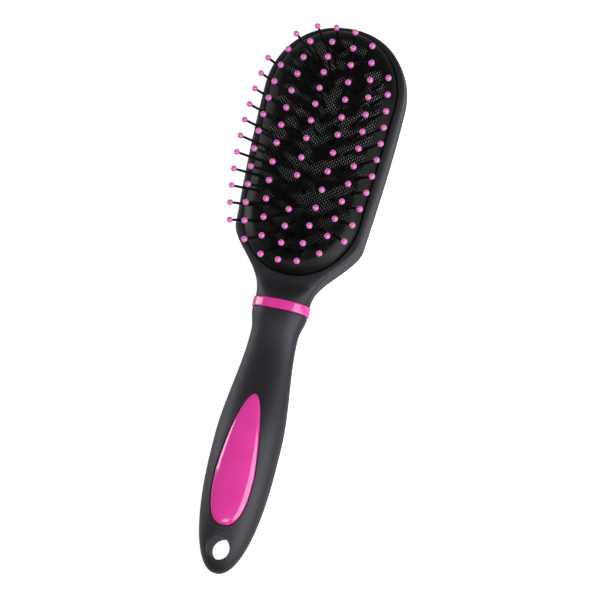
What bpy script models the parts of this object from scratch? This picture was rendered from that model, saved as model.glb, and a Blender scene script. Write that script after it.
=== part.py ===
"""Cushion brush, lying on its back with the pins up.

The frame: X runs across the head, Y along the brush towards the top of the head, Z up from the
table. The origin is under the middle of the brush, on the table. All values are in metres.
"""

import math

import bmesh
import bpy
import numpy as np
from mathutils import Matrix, Vector

MM = 0.001
UP = Vector((0, 0, 1))

# Whole brush
BRUSH_LENGTH = 240 * MM
SEAM = 0.3 * MM                  # gap left between pieces that touch
AXIS_HEIGHT = 10 * MM            # middle of the neck and collar above the table

# Head shell, seen from the pin side
HEAD_WIDTH = 61.8 * MM           # at the widest line
HEAD_TOP_ROUND = 31.5 * MM       # from the widest line to the top of the head
HEAD_TOP_SQUARENESS = 2.12
HIP_WIDTH = 55.9 * MM            # where the neck's flare meets the straight sides
FLARE_LENGTH = 29.6 * MM         # from the neck's end to the hip
FLARE_LATENESS = 1.22            # exponent over 1, which keeps the neck slim before it flares
NECK_BELOW_MIDDLE = 2.8 * MM     # end of the neck, below the middle of the brush
NECK_WIDTH = 23.8 * MM
NECK_THICKNESS = 14.4 * MM

# Head shell, seen from the side
RIM_HEIGHT = 14.6 * MM           # flat rim round the cushion, above the table
BULGE_BELOW_RIM = 3.5 * MM       # the shell is widest this far below its rim
BACK_CROWN = 0.4 * MM            # the rounded back would reach this far below its flat
NECK_BACK_RUN = 20 * MM          # the neck's back drops to the table over this length
RIM_SQUARENESS = 9.0             # exponent of the section above the widest line
BACK_SQUARENESS = 4.8            # exponent of the section below it
NECK_SQUARENESS = 2.3

# Seat of the cushion in the shell
RIM_FACE = 1.6 * MM              # width of the flat rim at the head's top
RIM_SIDE_EXTRA = 1.1 * MM        # how much wider the rim is along the sides
LIP_THICKNESS = 1.8 * MM         # the rim's lip that holds the cushion's bead down
GROOVE_HEIGHT = 2.0 * MM
GROOVE_DEPTH = 0.8 * MM          # how far the bead reaches under the lip
BEAD_SHELF = 1.2 * MM            # width of the ledge inside the lip that the bead rests on
CHAMBER_STRAIGHT = 5.0 * MM      # height of the air chamber's straight wall
CHAMBER_CORNER = 4.6 * MM        # how far the wall curves in towards the floor
SHELL_FLOOR = 2.4 * MM
CUSHION_FROM_NECK = 11 * MM      # from the neck's end to the cushion's lower edge
CUSHION_LOWER_ROUND = 28 * MM    # from that edge to where the cushion's straight sides start
LOWER_RIM = 2.5 * MM             # level rim between the cushion and the slope of the neck's front

# Cushion
CROWN = 7.2 * MM                 # top of the dome above the rim
RUBBER = 1.6 * MM
VENT_WIDTH = 2.0 * MM
HOLE_CLEARANCE = 0.3 * MM        # round each pin

# Field of pins. The columns run lengthwise, and each is listed from the left.
COLUMN_PLACES = (11, 13, 14, 15, 14, 13, 11)
COLUMN_TOP_MARGINS = [m * MM for m in (25.5, 15.1, 11.6, 11.4, 11.6, 15.1, 25.5)]  # below the cushion's top
COLUMN_LOW_MARGINS = [m * MM for m in (19, 13.5, 9.7, 9.1, 9.7, 13.5, 19)]     # above its lower edge
VENT_PLACE = 4                   # the air vent takes this place of the middle column, from below
FIELD_SIDE_MARGIN = 9.9 * MM     # from the head's widest line to the outer columns
COLUMN_GATHER = 0.29             # the columns draw together by this share at the field's ends
GATHER_RISE = 2.0                # exponent of that drawing together

# Pins
PIN_LENGTH = 15.0 * MM           # from the cushion to the middle of the ball
PIN_WIDTH = 1.1 * MM
BALL_WIDTH = 2.6 * MM
BALL_BAND = math.radians(35)     # latitude of the ball's two rings of points
LEAN_MOST = math.radians(38)
LEAN_REACH_ACROSS = 24 * MM      # where the lean reaches its most, to each side
LEAN_REACH_UPWARDS = 130 * MM    # the same towards the top of the head
LEAN_REACH_DOWNWARDS = 84 * MM   # the same towards the neck
LEAN_RISE = 0.72                 # exponent of the lean's rise
WEB_SIDE = 0.55 * MM             # the web that joins a column's pins, on each side of a pin
WEB_THICKNESS = 1.3 * MM
WEB_OVERHANG = 1.6 * MM          # web beyond its first and last pin
WEB_CLEARANCE = 0.5 * MM         # under the cushion

# Tang of the head shell, in the handle's socket
TANG_STEP_SIDE = 3.7 * MM        # from the neck's side in to the tang
TANG_STEP_FRONT = 3.6 * MM       # from the neck's front in to the tang
TANG_TAPER = 1.2 * MM            # how much smaller each half size is at the tang's end
TANG_FROM_INLAY = 5.5 * MM       # from the tang's end to the inlay's narrow end
TANG_SQUARENESS = 3.2

# Collar ring
COLLAR_LENGTH = 4.1 * MM
COLLAR_PROUD = 0.6 * MM          # outside the neck, all round
COLLAR_OVER_HANDLE = 0.5 * MM    # outside the handle's shoulder, all round
COLLAR_EDGE = 0.4 * MM

# Handle
WAIST_DEPTH = 1.8 * MM           # how far each side draws in below the shoulder
WAIST_FROM_COLLAR = 9.5 * MM
GRIP_WIDTH = 28.8 * MM
GRIP_FROM_END = 56 * MM          # where the grip reaches its full width
END_ROUND = 50 * MM              # length of the rounded end
END_OUTLINE_SQUARENESS = 2.2
SCOOP_DEPTH = 2.4 * MM           # thumb scoop in the front, below the shoulder
SCOOP_FROM_COLLAR = 17 * MM
GRIP_HEIGHT = 8.4 * MM           # middle of the grip above the table
GRIP_RISE = 9.8 * MM             # front of the grip above that middle
GRIP_DROP = 8.6 * MM             # back of the grip below it, before its flat
GRIP_SQUARENESS = 2.3
END_HEIGHT = 7 * MM              # tip of the handle above the table
END_SQUARENESS = 2.2             # exponent of the end seen from the side
HANG_HOLE_WIDTH = 9.6 * MM
HANG_HOLE_WALL = 5.5 * MM        # between the hole and the tip

# Inlay on the handle's front
INLAY_WIDTH = 16.9 * MM
INLAY_UPPER = 34.5 * MM          # from its widest line to its narrow end
INLAY_LOWER = 21.6 * MM          # from its widest line to its round end
INLAY_FROM_HOLE = 4.5 * MM       # from the hang hole to that round end
INLAY_THICKNESS = 2.0 * MM
INLAY_PROUD = 0.3 * MM
INLAY_BEVEL = 0.6 * MM
INLAY_UPPER_TAPER = 1.25         # near 1 the sides run straight to the narrow end, near 2 they bow
INLAY_LOWER_SQUARENESS = 2.5
PEG_WIDTH = 3 * MM
PEG_LENGTH = 3 * MM
PEG_BELOW = 6.5 * MM             # pegs on the inlay's middle line, below and above its widest line
PEG_ABOVE = 19.5 * MM

# Fineness of the meshes
SECTION_POINTS = 28
ARC_STEPS = 7
SIDE_STEPS = 1
DOME_RINGS = (0.14, 0.38, 0.64, 0.88, 1.0)
PLATE_RINGS = (1.0, 0.66, 0.33, 0.0)
PIN_SIDES = 6
HOLE_SIDES = 4
VENT_SIDES = 6
PEG_SIDES = 12
HANG_HOLE_SIDES = 24

# Places along the brush
HEAD_TOP_Y = BRUSH_LENGTH / 2
HANDLE_END_Y = -BRUSH_LENGTH / 2
NECK_END_Y = -NECK_BELOW_MIDDLE
HIP_Y = NECK_END_Y + FLARE_LENGTH
WIDEST_Y = HEAD_TOP_Y - HEAD_TOP_ROUND
LOWER_CENTRE_Y = NECK_END_Y + CUSHION_FROM_NECK + CUSHION_LOWER_ROUND
COLLAR_TOP_Y = NECK_END_Y - SEAM
COLLAR_LOW_Y = COLLAR_TOP_Y - COLLAR_LENGTH
HANDLE_TOP_Y = COLLAR_LOW_Y - SEAM
WAIST_Y = HANDLE_TOP_Y - WAIST_FROM_COLLAR
SCOOP_Y = HANDLE_TOP_Y - SCOOP_FROM_COLLAR
GRIP_Y = HANDLE_END_Y + GRIP_FROM_END
END_ROUND_Y = HANDLE_END_Y + END_ROUND
HANG_HOLE_Y = HANDLE_END_Y + HANG_HOLE_WALL + HANG_HOLE_WIDTH / 2
INLAY_Y = HANG_HOLE_Y + HANG_HOLE_WIDTH / 2 + INLAY_FROM_HOLE + INLAY_LOWER
TANG_END_Y = INLAY_Y + INLAY_UPPER + TANG_FROM_INLAY

# Heights of the cushion's seat, and insets from the head's outline
GROOVE_TOP = RIM_HEIGHT - LIP_THICKNESS
GROOVE_FLOOR = GROOVE_TOP - GROOVE_HEIGHT
CHAMBER_BEND = GROOVE_FLOOR - CHAMBER_STRAIGHT
GROOVE_INSET = RIM_FACE - GROOVE_DEPTH
CHAMBER_INSET = RIM_FACE + BEAD_SHELF
CUSHION_INSET = RIM_FACE + SEAM
BEAD_INSET = GROOVE_INSET + SEAM
UNDERSIDE_INSET = CUSHION_INSET + RUBBER

# Sizes that follow from their neighbours
TANG_HALF_WIDTH = NECK_WIDTH / 2 - TANG_STEP_SIDE
TANG_HALF_THICKNESS = NECK_THICKNESS / 2 - TANG_STEP_FRONT
SHOULDER_HALF_WIDTH = NECK_WIDTH / 2 + COLLAR_PROUD - COLLAR_OVER_HANDLE
SHOULDER_HALF_THICKNESS = NECK_THICKNESS / 2 + COLLAR_PROUD - COLLAR_OVER_HANDLE
COLUMN_PITCH = (HEAD_WIDTH / 2 - FIELD_SIDE_MARGIN) / (len(COLUMN_PLACES) // 2)
FIELD_TOP_Y = HEAD_TOP_Y - CUSHION_INSET - min(COLUMN_TOP_MARGINS)
FIELD_LOW_Y = NECK_END_Y + CUSHION_FROM_NECK + SEAM + min(COLUMN_LOW_MARGINS)
FIELD_MIDDLE_Y = (FIELD_TOP_Y + FIELD_LOW_Y) / 2
FIELD_REACH = (FIELD_TOP_Y - FIELD_LOW_Y) / 2


def ease(t):
    """Smooth step from 0 to 1, level at both ends."""
    t = np.clip(t, 0.0, 1.0)
    return t * t * (3 - 2 * t)


def blend(low, high, t):
    """From low to high along the smooth step."""
    return low + (high - low) * ease(t)


def squared(t, exponent):
    """Height of a superellipse of unit size at t, from 1 in the middle to 0 at its end."""
    t = np.clip(np.abs(t), 0.0, 1.0)
    return (1 - t ** exponent) ** (1 / exponent)


# Head shell

def head_half_width(y):
    """Half width of the head shell: neck flare, nearly straight sides, elliptical top."""
    if y <= HIP_Y:
        share = max(0.0, (y - NECK_END_Y) / FLARE_LENGTH)
        return blend(NECK_WIDTH, HIP_WIDTH, share ** FLARE_LATENESS) / 2
    if y <= WIDEST_Y:
        share = (y - HIP_Y) / (WIDEST_Y - HIP_Y)
        return (HIP_WIDTH + (HEAD_WIDTH - HIP_WIDTH) * math.sin(math.pi / 2 * share)) / 2
    return HEAD_WIDTH / 2 * squared((y - WIDEST_Y) / HEAD_TOP_ROUND, HEAD_TOP_SQUARENESS)


def section(y, half_width, middle, rise, drop, squareness_up, squareness_down):
    """One ring of a loft along Y: a superellipse with unlike upper and lower halves."""
    angle = np.arange(SECTION_POINTS) * 2 * math.pi / SECTION_POINTS
    cos, sin = np.cos(angle), np.sin(angle)
    exponent = 2 / np.where(sin >= 0, squareness_up, squareness_down)
    x = half_width * np.sign(cos) * np.abs(np.round(cos, 9)) ** exponent
    reach = np.where(sin >= 0, rise, -drop)
    z = middle + reach * np.abs(np.round(sin, 9)) ** exponent
    return np.stack([x, np.full_like(x, y), np.maximum(z, 0.0)], axis=1)


def head_section(y):
    """The head shell's outline at y, with the flat back clipped at the table."""
    from_neck = y - NECK_END_Y
    beyond = max(0.0, (y - WIDEST_Y) / HEAD_TOP_ROUND)
    slope = CUSHION_FROM_NECK - LOWER_RIM
    middle = blend(AXIS_HEIGHT, RIM_HEIGHT - BULGE_BELOW_RIM, from_neck / FLARE_LENGTH)
    top = blend(AXIS_HEIGHT + NECK_THICKNESS / 2, RIM_HEIGHT, from_neck / slope)
    low = blend(AXIS_HEIGHT - NECK_THICKNESS / 2, -BACK_CROWN, from_neck / NECK_BACK_RUN)
    return section(
        y,
        head_half_width(y),
        middle,
        (top - middle) * squared(beyond, RIM_SQUARENESS),
        (middle - low) * squared(beyond, BACK_SQUARENESS),
        blend(NECK_SQUARENESS, RIM_SQUARENESS, from_neck / NECK_BACK_RUN),
        blend(NECK_SQUARENESS, BACK_SQUARENESS, from_neck / NECK_BACK_RUN),
    )


def tang_section(y, grow=0.0):
    """The tang's outline at y, grown by a clearance for the bores it slides into."""
    share = (NECK_END_Y - y) / (NECK_END_Y - TANG_END_Y)
    half_width = TANG_HALF_WIDTH - TANG_TAPER * share + grow
    half_thick = TANG_HALF_THICKNESS - TANG_TAPER * share + grow
    return section(y, half_width, AXIS_HEIGHT, half_thick, half_thick, TANG_SQUARENESS, TANG_SQUARENESS)


# Cushion's oval

def oval_radii(inset):
    """Radii of the cushion's top and lower rounds, that far inside the head's outline at its top."""
    side_inset = inset + RIM_SIDE_EXTRA
    return (
        HEAD_WIDTH / 2 - side_inset,
        HEAD_TOP_ROUND - inset,
        head_half_width(LOWER_CENTRE_Y) - side_inset,
        CUSHION_LOWER_ROUND + RIM_FACE - inset,
    )


def oval_ring(inset, height, scale=1.0):
    """A level ring: two half ellipses joined by straight sides, shrunk towards the middle line."""
    top_x, top_y, low_x, low_y = (radius * scale for radius in oval_radii(inset))
    turn = np.linspace(0, math.pi, ARC_STEPS + 1)
    upper = np.stack([top_x * np.cos(turn), WIDEST_Y + top_y * np.sin(turn)], axis=1)
    lower = np.stack([-low_x * np.cos(turn), LOWER_CENTRE_Y - low_y * np.sin(turn)], axis=1)
    share = np.linspace(0, 1, SIDE_STEPS + 1)[1:-1, None]
    left = upper[-1] + (lower[0] - upper[-1]) * share
    right = lower[-1] + (upper[0] - lower[-1]) * share
    flat = np.concatenate([upper, left, lower, right])
    return np.column_stack([flat, np.full(len(flat), height)])


def oval_fraction(x, y, inset):
    """0 on the cushion's middle line, 1 on the oval at that inset."""
    top_x, top_y, low_x, low_y = oval_radii(inset)
    if y >= WIDEST_Y:
        return math.hypot(x / top_x, (y - WIDEST_Y) / top_y)
    if y <= LOWER_CENTRE_Y:
        return math.hypot(x / low_x, (LOWER_CENTRE_Y - y) / low_y)
    share = (y - LOWER_CENTRE_Y) / (WIDEST_Y - LOWER_CENTRE_Y)
    return abs(x) / (low_x + (top_x - low_x) * share)


def dome_height(fraction, crown):
    """Height of a dome above the table, from the crown in the middle to the rim at the edge."""
    return RIM_HEIGHT + crown * math.sqrt(max(0.0, 1 - fraction ** 2))


def cushion_top(x, y):
    """Height of the cushion's upper surface at (x, y)."""
    return dome_height(oval_fraction(x, y, CUSHION_INSET), CROWN)


def cushion_normal(x, y, step=0.1 * MM):
    """Unit vector square to the cushion's upper surface at (x, y)."""
    slope_x = (cushion_top(x + step, y) - cushion_top(x - step, y)) / (2 * step)
    slope_y = (cushion_top(x, y + step) - cushion_top(x, y - step)) / (2 * step)
    return Vector((-slope_x, -slope_y, 1)).normalized()


# Handle

def handle_half_width(y):
    """Half width of the handle: shoulder, waist, grip and elliptical end."""
    waist = SHOULDER_HALF_WIDTH - WAIST_DEPTH
    if y >= WAIST_Y:
        return blend(SHOULDER_HALF_WIDTH, waist, (HANDLE_TOP_Y - y) / WAIST_FROM_COLLAR)
    if y >= END_ROUND_Y:
        return blend(waist, GRIP_WIDTH / 2, (WAIST_Y - y) / (WAIST_Y - GRIP_Y))
    return GRIP_WIDTH / 2 * squared((END_ROUND_Y - y) / END_ROUND, END_OUTLINE_SQUARENESS)


def handle_middle(y):
    """Height of the handle's axis, which drops from the collar to the grip and on to the tip."""
    if y >= GRIP_Y:
        return blend(AXIS_HEIGHT, GRIP_HEIGHT, (HANDLE_TOP_Y - y) / (HANDLE_TOP_Y - GRIP_Y))
    return blend(GRIP_HEIGHT, END_HEIGHT, (GRIP_Y - y) / (GRIP_Y - HANDLE_END_Y))


def handle_rise(y):
    """Height of the handle's front above its axis, with the thumb scoop below the collar."""
    scoop = SHOULDER_HALF_THICKNESS - SCOOP_DEPTH
    if y >= SCOOP_Y:
        return blend(SHOULDER_HALF_THICKNESS, scoop, (HANDLE_TOP_Y - y) / SCOOP_FROM_COLLAR)
    grip = blend(scoop, GRIP_RISE, (SCOOP_Y - y) / (SCOOP_Y - GRIP_Y))
    return grip * squared(max(0.0, END_ROUND_Y - y) / END_ROUND, END_SQUARENESS)


def handle_drop(y):
    """Depth of the handle's back below its axis."""
    grip = blend(SHOULDER_HALF_THICKNESS, GRIP_DROP, (HANDLE_TOP_Y - y) / (HANDLE_TOP_Y - GRIP_Y))
    return grip * squared(max(0.0, END_ROUND_Y - y) / END_ROUND, END_SQUARENESS)


def handle_section(y):
    """The handle's outline at y."""
    rise, drop = handle_rise(y), handle_drop(y)
    middle = handle_middle(y)
    return section(y, handle_half_width(y), middle, rise, drop, GRIP_SQUARENESS, GRIP_SQUARENESS)


def handle_front(x, y):
    """Height of the handle's front surface over the point (x, y)."""
    return handle_middle(y) + handle_rise(y) * squared(x / handle_half_width(y), GRIP_SQUARENESS)


def inlay_outline(grow, points=32):
    """The teardrop, narrow end towards the collar, grown outwards by that much."""
    turn = np.arange(points) * 2 * math.pi / points
    cos, sin = np.round(np.cos(turn), 9), np.round(np.sin(turn), 9)
    across = 2 / np.where(sin >= 0, 2, INLAY_LOWER_SQUARENESS)
    along = 2 / np.where(sin >= 0, INLAY_UPPER_TAPER, INLAY_LOWER_SQUARENESS)
    x = (INLAY_WIDTH / 2 + grow) * np.sign(cos) * np.abs(cos) ** across
    reach = np.where(sin >= 0, INLAY_UPPER + grow, -INLAY_LOWER - grow)
    return np.stack([x, INLAY_Y + reach * np.abs(sin) ** along], axis=1)


# Pins

def pin_columns():
    """For each column, the roots and directions of its pins, and the vent's root and direction."""
    columns, vent = [], None
    middle_column = len(COLUMN_PLACES) // 2
    layout = zip(COLUMN_PLACES, COLUMN_TOP_MARGINS, COLUMN_LOW_MARGINS)
    for column, (places, top_margin, low_margin) in enumerate(layout):
        top = HEAD_TOP_Y - CUSHION_INSET - top_margin
        low = NECK_END_Y + CUSHION_FROM_NECK + SEAM + low_margin
        pins = []
        for place, y in enumerate(np.linspace(low, top, places)):
            gather = COLUMN_GATHER * (abs(y - FIELD_MIDDLE_Y) / FIELD_REACH) ** GATHER_RISE
            x = (column - middle_column) * COLUMN_PITCH * (1 - gather)
            root = Vector((x, y, cushion_top(x, y)))
            if column == middle_column and place == VENT_PLACE:
                vent = (root, lean(x, y))
            else:
                pins.append((root, lean(x, y)))
        columns.append(pins)
    return columns, vent


def lean(x, y):
    """Direction of a pin: it leans away from the middle of the field, most near the edge."""
    across = x / LEAN_REACH_ACROSS
    reach_along = LEAN_REACH_UPWARDS if y > FIELD_MIDDLE_Y else LEAN_REACH_DOWNWARDS
    along = (y - FIELD_MIDDLE_Y) / reach_along
    fraction = math.hypot(across, along)
    if fraction < 1e-9:
        return UP
    tilt = LEAN_MOST * math.sin(math.pi / 2 * min(1.0, fraction)) ** LEAN_RISE
    side = Vector((across, along, 0)) / fraction
    return side * math.sin(tilt) + Vector((0, 0, math.cos(tilt)))


# Mesh helpers

def new_object(name, mesh, collection, materials=()):
    """Links a mesh as an object, shaded smooth except at sharp edges."""
    obj = bpy.data.objects.new(name, mesh)
    collection.objects.link(obj)
    for material in materials:
        mesh.materials.append(material)
    mesh.shade_smooth()
    mesh.set_sharp_from_angle(angle=math.radians(35))
    return obj


def finish_mesh(name, bm):
    """Merges the points that a closed end shares, turns the faces outwards and makes the mesh."""
    bmesh.ops.remove_doubles(bm, verts=bm.verts, dist=1e-7)
    bmesh.ops.dissolve_degenerate(bm, edges=bm.edges, dist=1e-7)
    bmesh.ops.recalc_face_normals(bm, faces=bm.faces)
    mesh = bpy.data.meshes.new(name)
    bm.to_mesh(mesh)
    bm.free()
    return mesh


def add_skin(bm, rings, looped=False):
    """Joins equal rings with faces. The ends are capped, or joined to each other if looped."""
    loops = [[bm.verts.new(point) for point in ring] for ring in rings]
    pairs = list(zip(loops, loops[1:] + loops[:1] if looped else loops[1:]))
    for one, other in pairs:
        for i, j in zip(range(len(one)), [*range(1, len(one)), 0]):
            bm.faces.new((one[i], one[j], other[j], other[i]))
    if not looped:
        bm.faces.new(loops[0][::-1])
        bm.faces.new(loops[-1])


def skinned(name, rings, looped=False):
    """One closed mesh over a list of rings."""
    bm = bmesh.new()
    add_skin(bm, rings, looped)
    return finish_mesh(name, bm)


def aimed(centre, direction):
    """Matrix that stands a primitive at a point, with its Z axis along a direction."""
    return Matrix.Translation(centre) @ direction.to_track_quat("Z", "Y").to_matrix().to_4x4()


def add_rod(bm, start, direction, length, radius, sides):
    """A straight round rod with flat ends."""
    bmesh.ops.create_cone(
        bm,
        cap_ends=True,
        segments=sides,
        radius1=radius,
        radius2=radius,
        depth=length,
        matrix=aimed(start + direction * (length / 2), direction),
    )


def add_turned(bm, start, direction, profile, sides):
    """Turns a profile about an axis. Its points are distances along the axis and radii."""
    matrix = aimed(start, direction)
    line = [bm.verts.new(matrix @ Vector((radius, 0, along))) for along, radius in profile]
    edges = [bm.edges.new(pair) for pair in zip(line, line[1:])]
    turn = {"cent": start, "axis": direction, "angle": 2 * math.pi, "steps": sides}
    bmesh.ops.spin(bm, geom=line + edges, use_merge=True, **turn)


def cut(obj, cutter, name, operation="DIFFERENCE"):
    """Adds a Boolean with another object."""
    modifier = obj.modifiers.new(name, "BOOLEAN")
    modifier.operation = operation
    modifier.solver = "EXACT"
    modifier.object = cutter


def material(name, colour, roughness, metallic=0.0):
    """A plain surface of one colour."""
    made = bpy.data.materials.new(name)
    made.use_nodes = True
    shader = made.node_tree.nodes["Principled BSDF"]
    shader.inputs["Base Color"].default_value = (*colour, 1.0)
    shader.inputs["Roughness"].default_value = roughness
    shader.inputs["Metallic"].default_value = metallic
    made.diffuse_color = (*colour, 1.0)
    return made


# Parts

def make_head_shell(parts, cutters, surface):
    """Moulded shell with its neck and tang, hollowed for the cushion's bead and the air under it."""
    flare = np.linspace(NECK_END_Y, HIP_Y, 13)
    sides = np.linspace(HIP_Y, WIDEST_Y, 6)[1:]
    top = WIDEST_Y + HEAD_TOP_ROUND * np.sin(np.linspace(0, math.pi / 2, 10)[1:])
    rings = [tang_section(TANG_END_Y), tang_section(NECK_END_Y)]
    rings += [head_section(y) for y in (*flare, *sides, *top)]
    shell = new_object("head_shell", skinned("head_shell", rings), parts, [surface])

    hollow = [
        oval_ring(CHAMBER_INSET + CHAMBER_CORNER, SHELL_FLOOR),
        oval_ring(CHAMBER_INSET + CHAMBER_CORNER / 3, SHELL_FLOOR + (CHAMBER_BEND - SHELL_FLOOR) / 3),
        oval_ring(CHAMBER_INSET, CHAMBER_BEND),
        oval_ring(CHAMBER_INSET, GROOVE_FLOOR),
        oval_ring(GROOVE_INSET, GROOVE_FLOOR),
        oval_ring(GROOVE_INSET, GROOVE_TOP),
        oval_ring(RIM_FACE, GROOVE_TOP),
        oval_ring(RIM_FACE, RIM_HEIGHT + LIP_THICKNESS),
    ]
    cut(shell, new_object("shell_hollow", skinned("shell_hollow", hollow), cutters), "hollow")
    return shell


def make_cushion(parts, cutters, columns, vent, surface):
    """Domed rubber cushion with a bead round its edge, a hole for each pin and an air vent."""
    bead_top = GROOVE_TOP - SEAM
    bead_low = GROOVE_FLOOR + SEAM
    rings = [oval_ring(CUSHION_INSET, dome_height(s, CROWN), s) for s in DOME_RINGS]
    rings += [
        oval_ring(CUSHION_INSET, bead_top),
        oval_ring(BEAD_INSET, bead_top),
        oval_ring(BEAD_INSET, bead_low),
        oval_ring(UNDERSIDE_INSET, bead_low),
    ]
    inner = CROWN - RUBBER
    rings += [oval_ring(UNDERSIDE_INSET, dome_height(s, inner), s) for s in DOME_RINGS[::-1]]
    cushion = new_object("cushion", skinned("cushion", rings), parts, [surface])

    bm = bmesh.new()
    hole_radius = (PIN_WIDTH / 2 + HOLE_CLEARANCE) / math.cos(math.pi / HOLE_SIDES)
    reach = 2.5 * RUBBER
    for root, direction in [pin for pins in columns for pin in pins]:
        add_rod(bm, root - direction * reach, direction, 2 * reach, hole_radius, HOLE_SIDES)
    root, direction = vent
    add_rod(bm, root - direction * reach, direction, 2 * reach, VENT_WIDTH / 2, VENT_SIDES)
    cut(cushion, new_object("cushion_holes", finish_mesh("cushion_holes", bm), cutters), "holes")
    return cushion


def pin_feet(pins):
    """Where each pin's axis meets the middle of the web, level with the cushion's underside."""
    depth = RUBBER + WEB_CLEARANCE + WEB_THICKNESS / 2
    feet = []
    for root, direction in pins:
        up = cushion_normal(root.x, root.y)
        feet.append((root - direction * (depth / direction.dot(up)), up))
    return feet


def web_rings(feet):
    """Rings of the flat web that joins a column's pins under the cushion."""
    points = [foot for foot, _ in feet]
    ups = [up for _, up in feet]
    points = [points[0] + (points[0] - points[1]).normalized() * WEB_OVERHANG, *points]
    points.append(points[-1] + (points[-1] - points[-2]).normalized() * WEB_OVERHANG)
    ups = [ups[0], *ups, ups[-1]]
    rings = []
    for i, (point, up) in enumerate(zip(points, ups)):
        ahead = (points[min(i + 1, len(points) - 1)] - points[max(i - 1, 0)]).normalized()
        up = (up - ahead * up.dot(ahead)).normalized()
        side = ahead.cross(up)
        half_side, half_up = side * (PIN_WIDTH / 2 + WEB_SIDE), up * (WEB_THICKNESS / 2)
        corners = ((1, -1), (1, 1), (-1, 1), (-1, -1))
        rings.append([point + half_side * a + half_up * b for a, b in corners])
    return rings


def make_pin_strip(number, pins, parts, cutters, shaft_surface, ball_surface):
    """One lengthwise column of ball-tipped pins on the web that carries them under the cushion."""
    feet = pin_feet(pins)
    origin = feet[len(feet) // 2][0]
    feet = [(foot - origin, up) for foot, up in feet]
    name = f"pin_strip_{number}"
    web = skinned(name, web_rings(feet))
    strip = new_object(name, web, parts, [shaft_surface, ball_surface])
    strip.location = origin

    shaft, ball = PIN_WIDTH / 2, BALL_WIDTH / 2
    band_height, band_radius = ball * math.sin(BALL_BAND), ball * math.cos(BALL_BAND)
    bm = bmesh.new()
    for (foot, _), (root, direction) in zip(feet, pins):
        tip = PIN_LENGTH + (root - origin - foot).length
        neck = tip - math.sqrt(ball ** 2 - shaft ** 2)
        bands = [(tip - band_height, band_radius), (tip + band_height, band_radius)]
        profile = [(0.0, 0.0), (0.0, shaft), (neck, shaft), *bands, (tip + ball, 0.0)]
        add_turned(bm, foot, direction, profile, PIN_SIDES)
        for face in bm.faces:
            if (face.calc_center_median() - foot).dot(direction) > neck:
                face.material_index = 1
    mesh = finish_mesh(name + "_pins", bm)
    helper = new_object(name + "_pins", mesh, cutters, [shaft_surface, ball_surface])
    helper.location = origin
    cut(strip, helper, "pins", "UNION")
    return strip


def make_collar(parts, surface):
    """Ring slipped over the tang between the neck and the handle, a little proud of both."""
    half_width = NECK_WIDTH / 2 + COLLAR_PROUD
    half_thick = NECK_THICKNESS / 2 + COLLAR_PROUD

    def outer(y, inset):
        wide, thick = half_width - inset, half_thick - inset
        return section(y, wide, AXIS_HEIGHT, thick, thick, NECK_SQUARENESS, NECK_SQUARENESS)

    rings = [
        outer(COLLAR_TOP_Y, COLLAR_EDGE),
        outer(COLLAR_TOP_Y - COLLAR_EDGE, 0.0),
        outer(COLLAR_LOW_Y + COLLAR_EDGE, 0.0),
        outer(COLLAR_LOW_Y, COLLAR_EDGE),
        tang_section(COLLAR_LOW_Y, SEAM),
        tang_section(COLLAR_TOP_Y, SEAM),
    ]
    return new_object("collar_ring", skinned("collar_ring", rings, looped=True), parts, [surface])


def make_handle(parts, cutters, surface):
    """Handle with a socket for the tang, a bed for the inlay and its pegs, and a hang hole."""
    upper = np.linspace(HANDLE_TOP_Y, GRIP_Y, 14)
    lower = END_ROUND_Y - END_ROUND * np.sin(np.linspace(0, math.pi / 2, 15))
    rings = [handle_section(y) for y in (*upper, *lower)]
    handle = new_object("handle", skinned("handle", rings), parts, [surface])

    socket = [tang_section(HANDLE_TOP_Y + SEAM, SEAM), tang_section(TANG_END_Y - SEAM, SEAM)]
    cut(handle, new_object("socket", skinned("socket", socket), cutters), "socket")
    bed = inlay_body("inlay_bed", SEAM, SEAM, INLAY_PROUD + INLAY_THICKNESS)
    cut(handle, new_object("inlay_bed", bed, cutters), "bed")
    holes = peg_mesh("peg_holes", PEG_WIDTH / 2 + SEAM, PEG_LENGTH + SEAM, INLAY_THICKNESS / 2)
    cut(handle, new_object("peg_holes", holes, cutters), "pegs")
    low = Vector((0, HANG_HOLE_Y, -SEAM))
    bm = bmesh.new()
    add_rod(bm, low, UP, GRIP_HEIGHT + GRIP_RISE + SEAM, HANG_HOLE_WIDTH / 2, HANG_HOLE_SIDES)
    cut(handle, new_object("hang_hole", finish_mesh("hang_hole", bm), cutters), "hang")
    return handle


def inlay_body(name, grow, deeper, proud, bevel=0.0):
    """A plate of the teardrop's outline whose faces follow the handle's front."""
    def ring(outline_grow, scale, above):
        flat = inlay_outline(outline_grow)
        flat = np.column_stack([flat[:, 0] * scale, INLAY_Y + (flat[:, 1] - INLAY_Y) * scale])
        return np.array([(x, y, handle_front(x, y) + above) for x, y in flat])

    rings = [ring(grow - bevel, scale, proud) for scale in PLATE_RINGS[::-1]]
    if bevel:
        rings.append(ring(grow, 1.0, proud - bevel))
    rings += [ring(grow, scale, -INLAY_THICKNESS - deeper) for scale in PLATE_RINGS]
    return skinned(name, rings)


def peg_mesh(name, radius, length, sink):
    """Two round pegs under the inlay, on its middle line, whose tops sink into the plate."""
    bm = bmesh.new()
    for y in (INLAY_Y - PEG_BELOW, INLAY_Y + PEG_ABOVE):
        top = handle_front(0.0, y) - INLAY_THICKNESS + sink
        add_rod(bm, Vector((0, y, top - length - sink)), UP, length + sink, radius, PEG_SIDES)
    return finish_mesh(name, bm)


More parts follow.
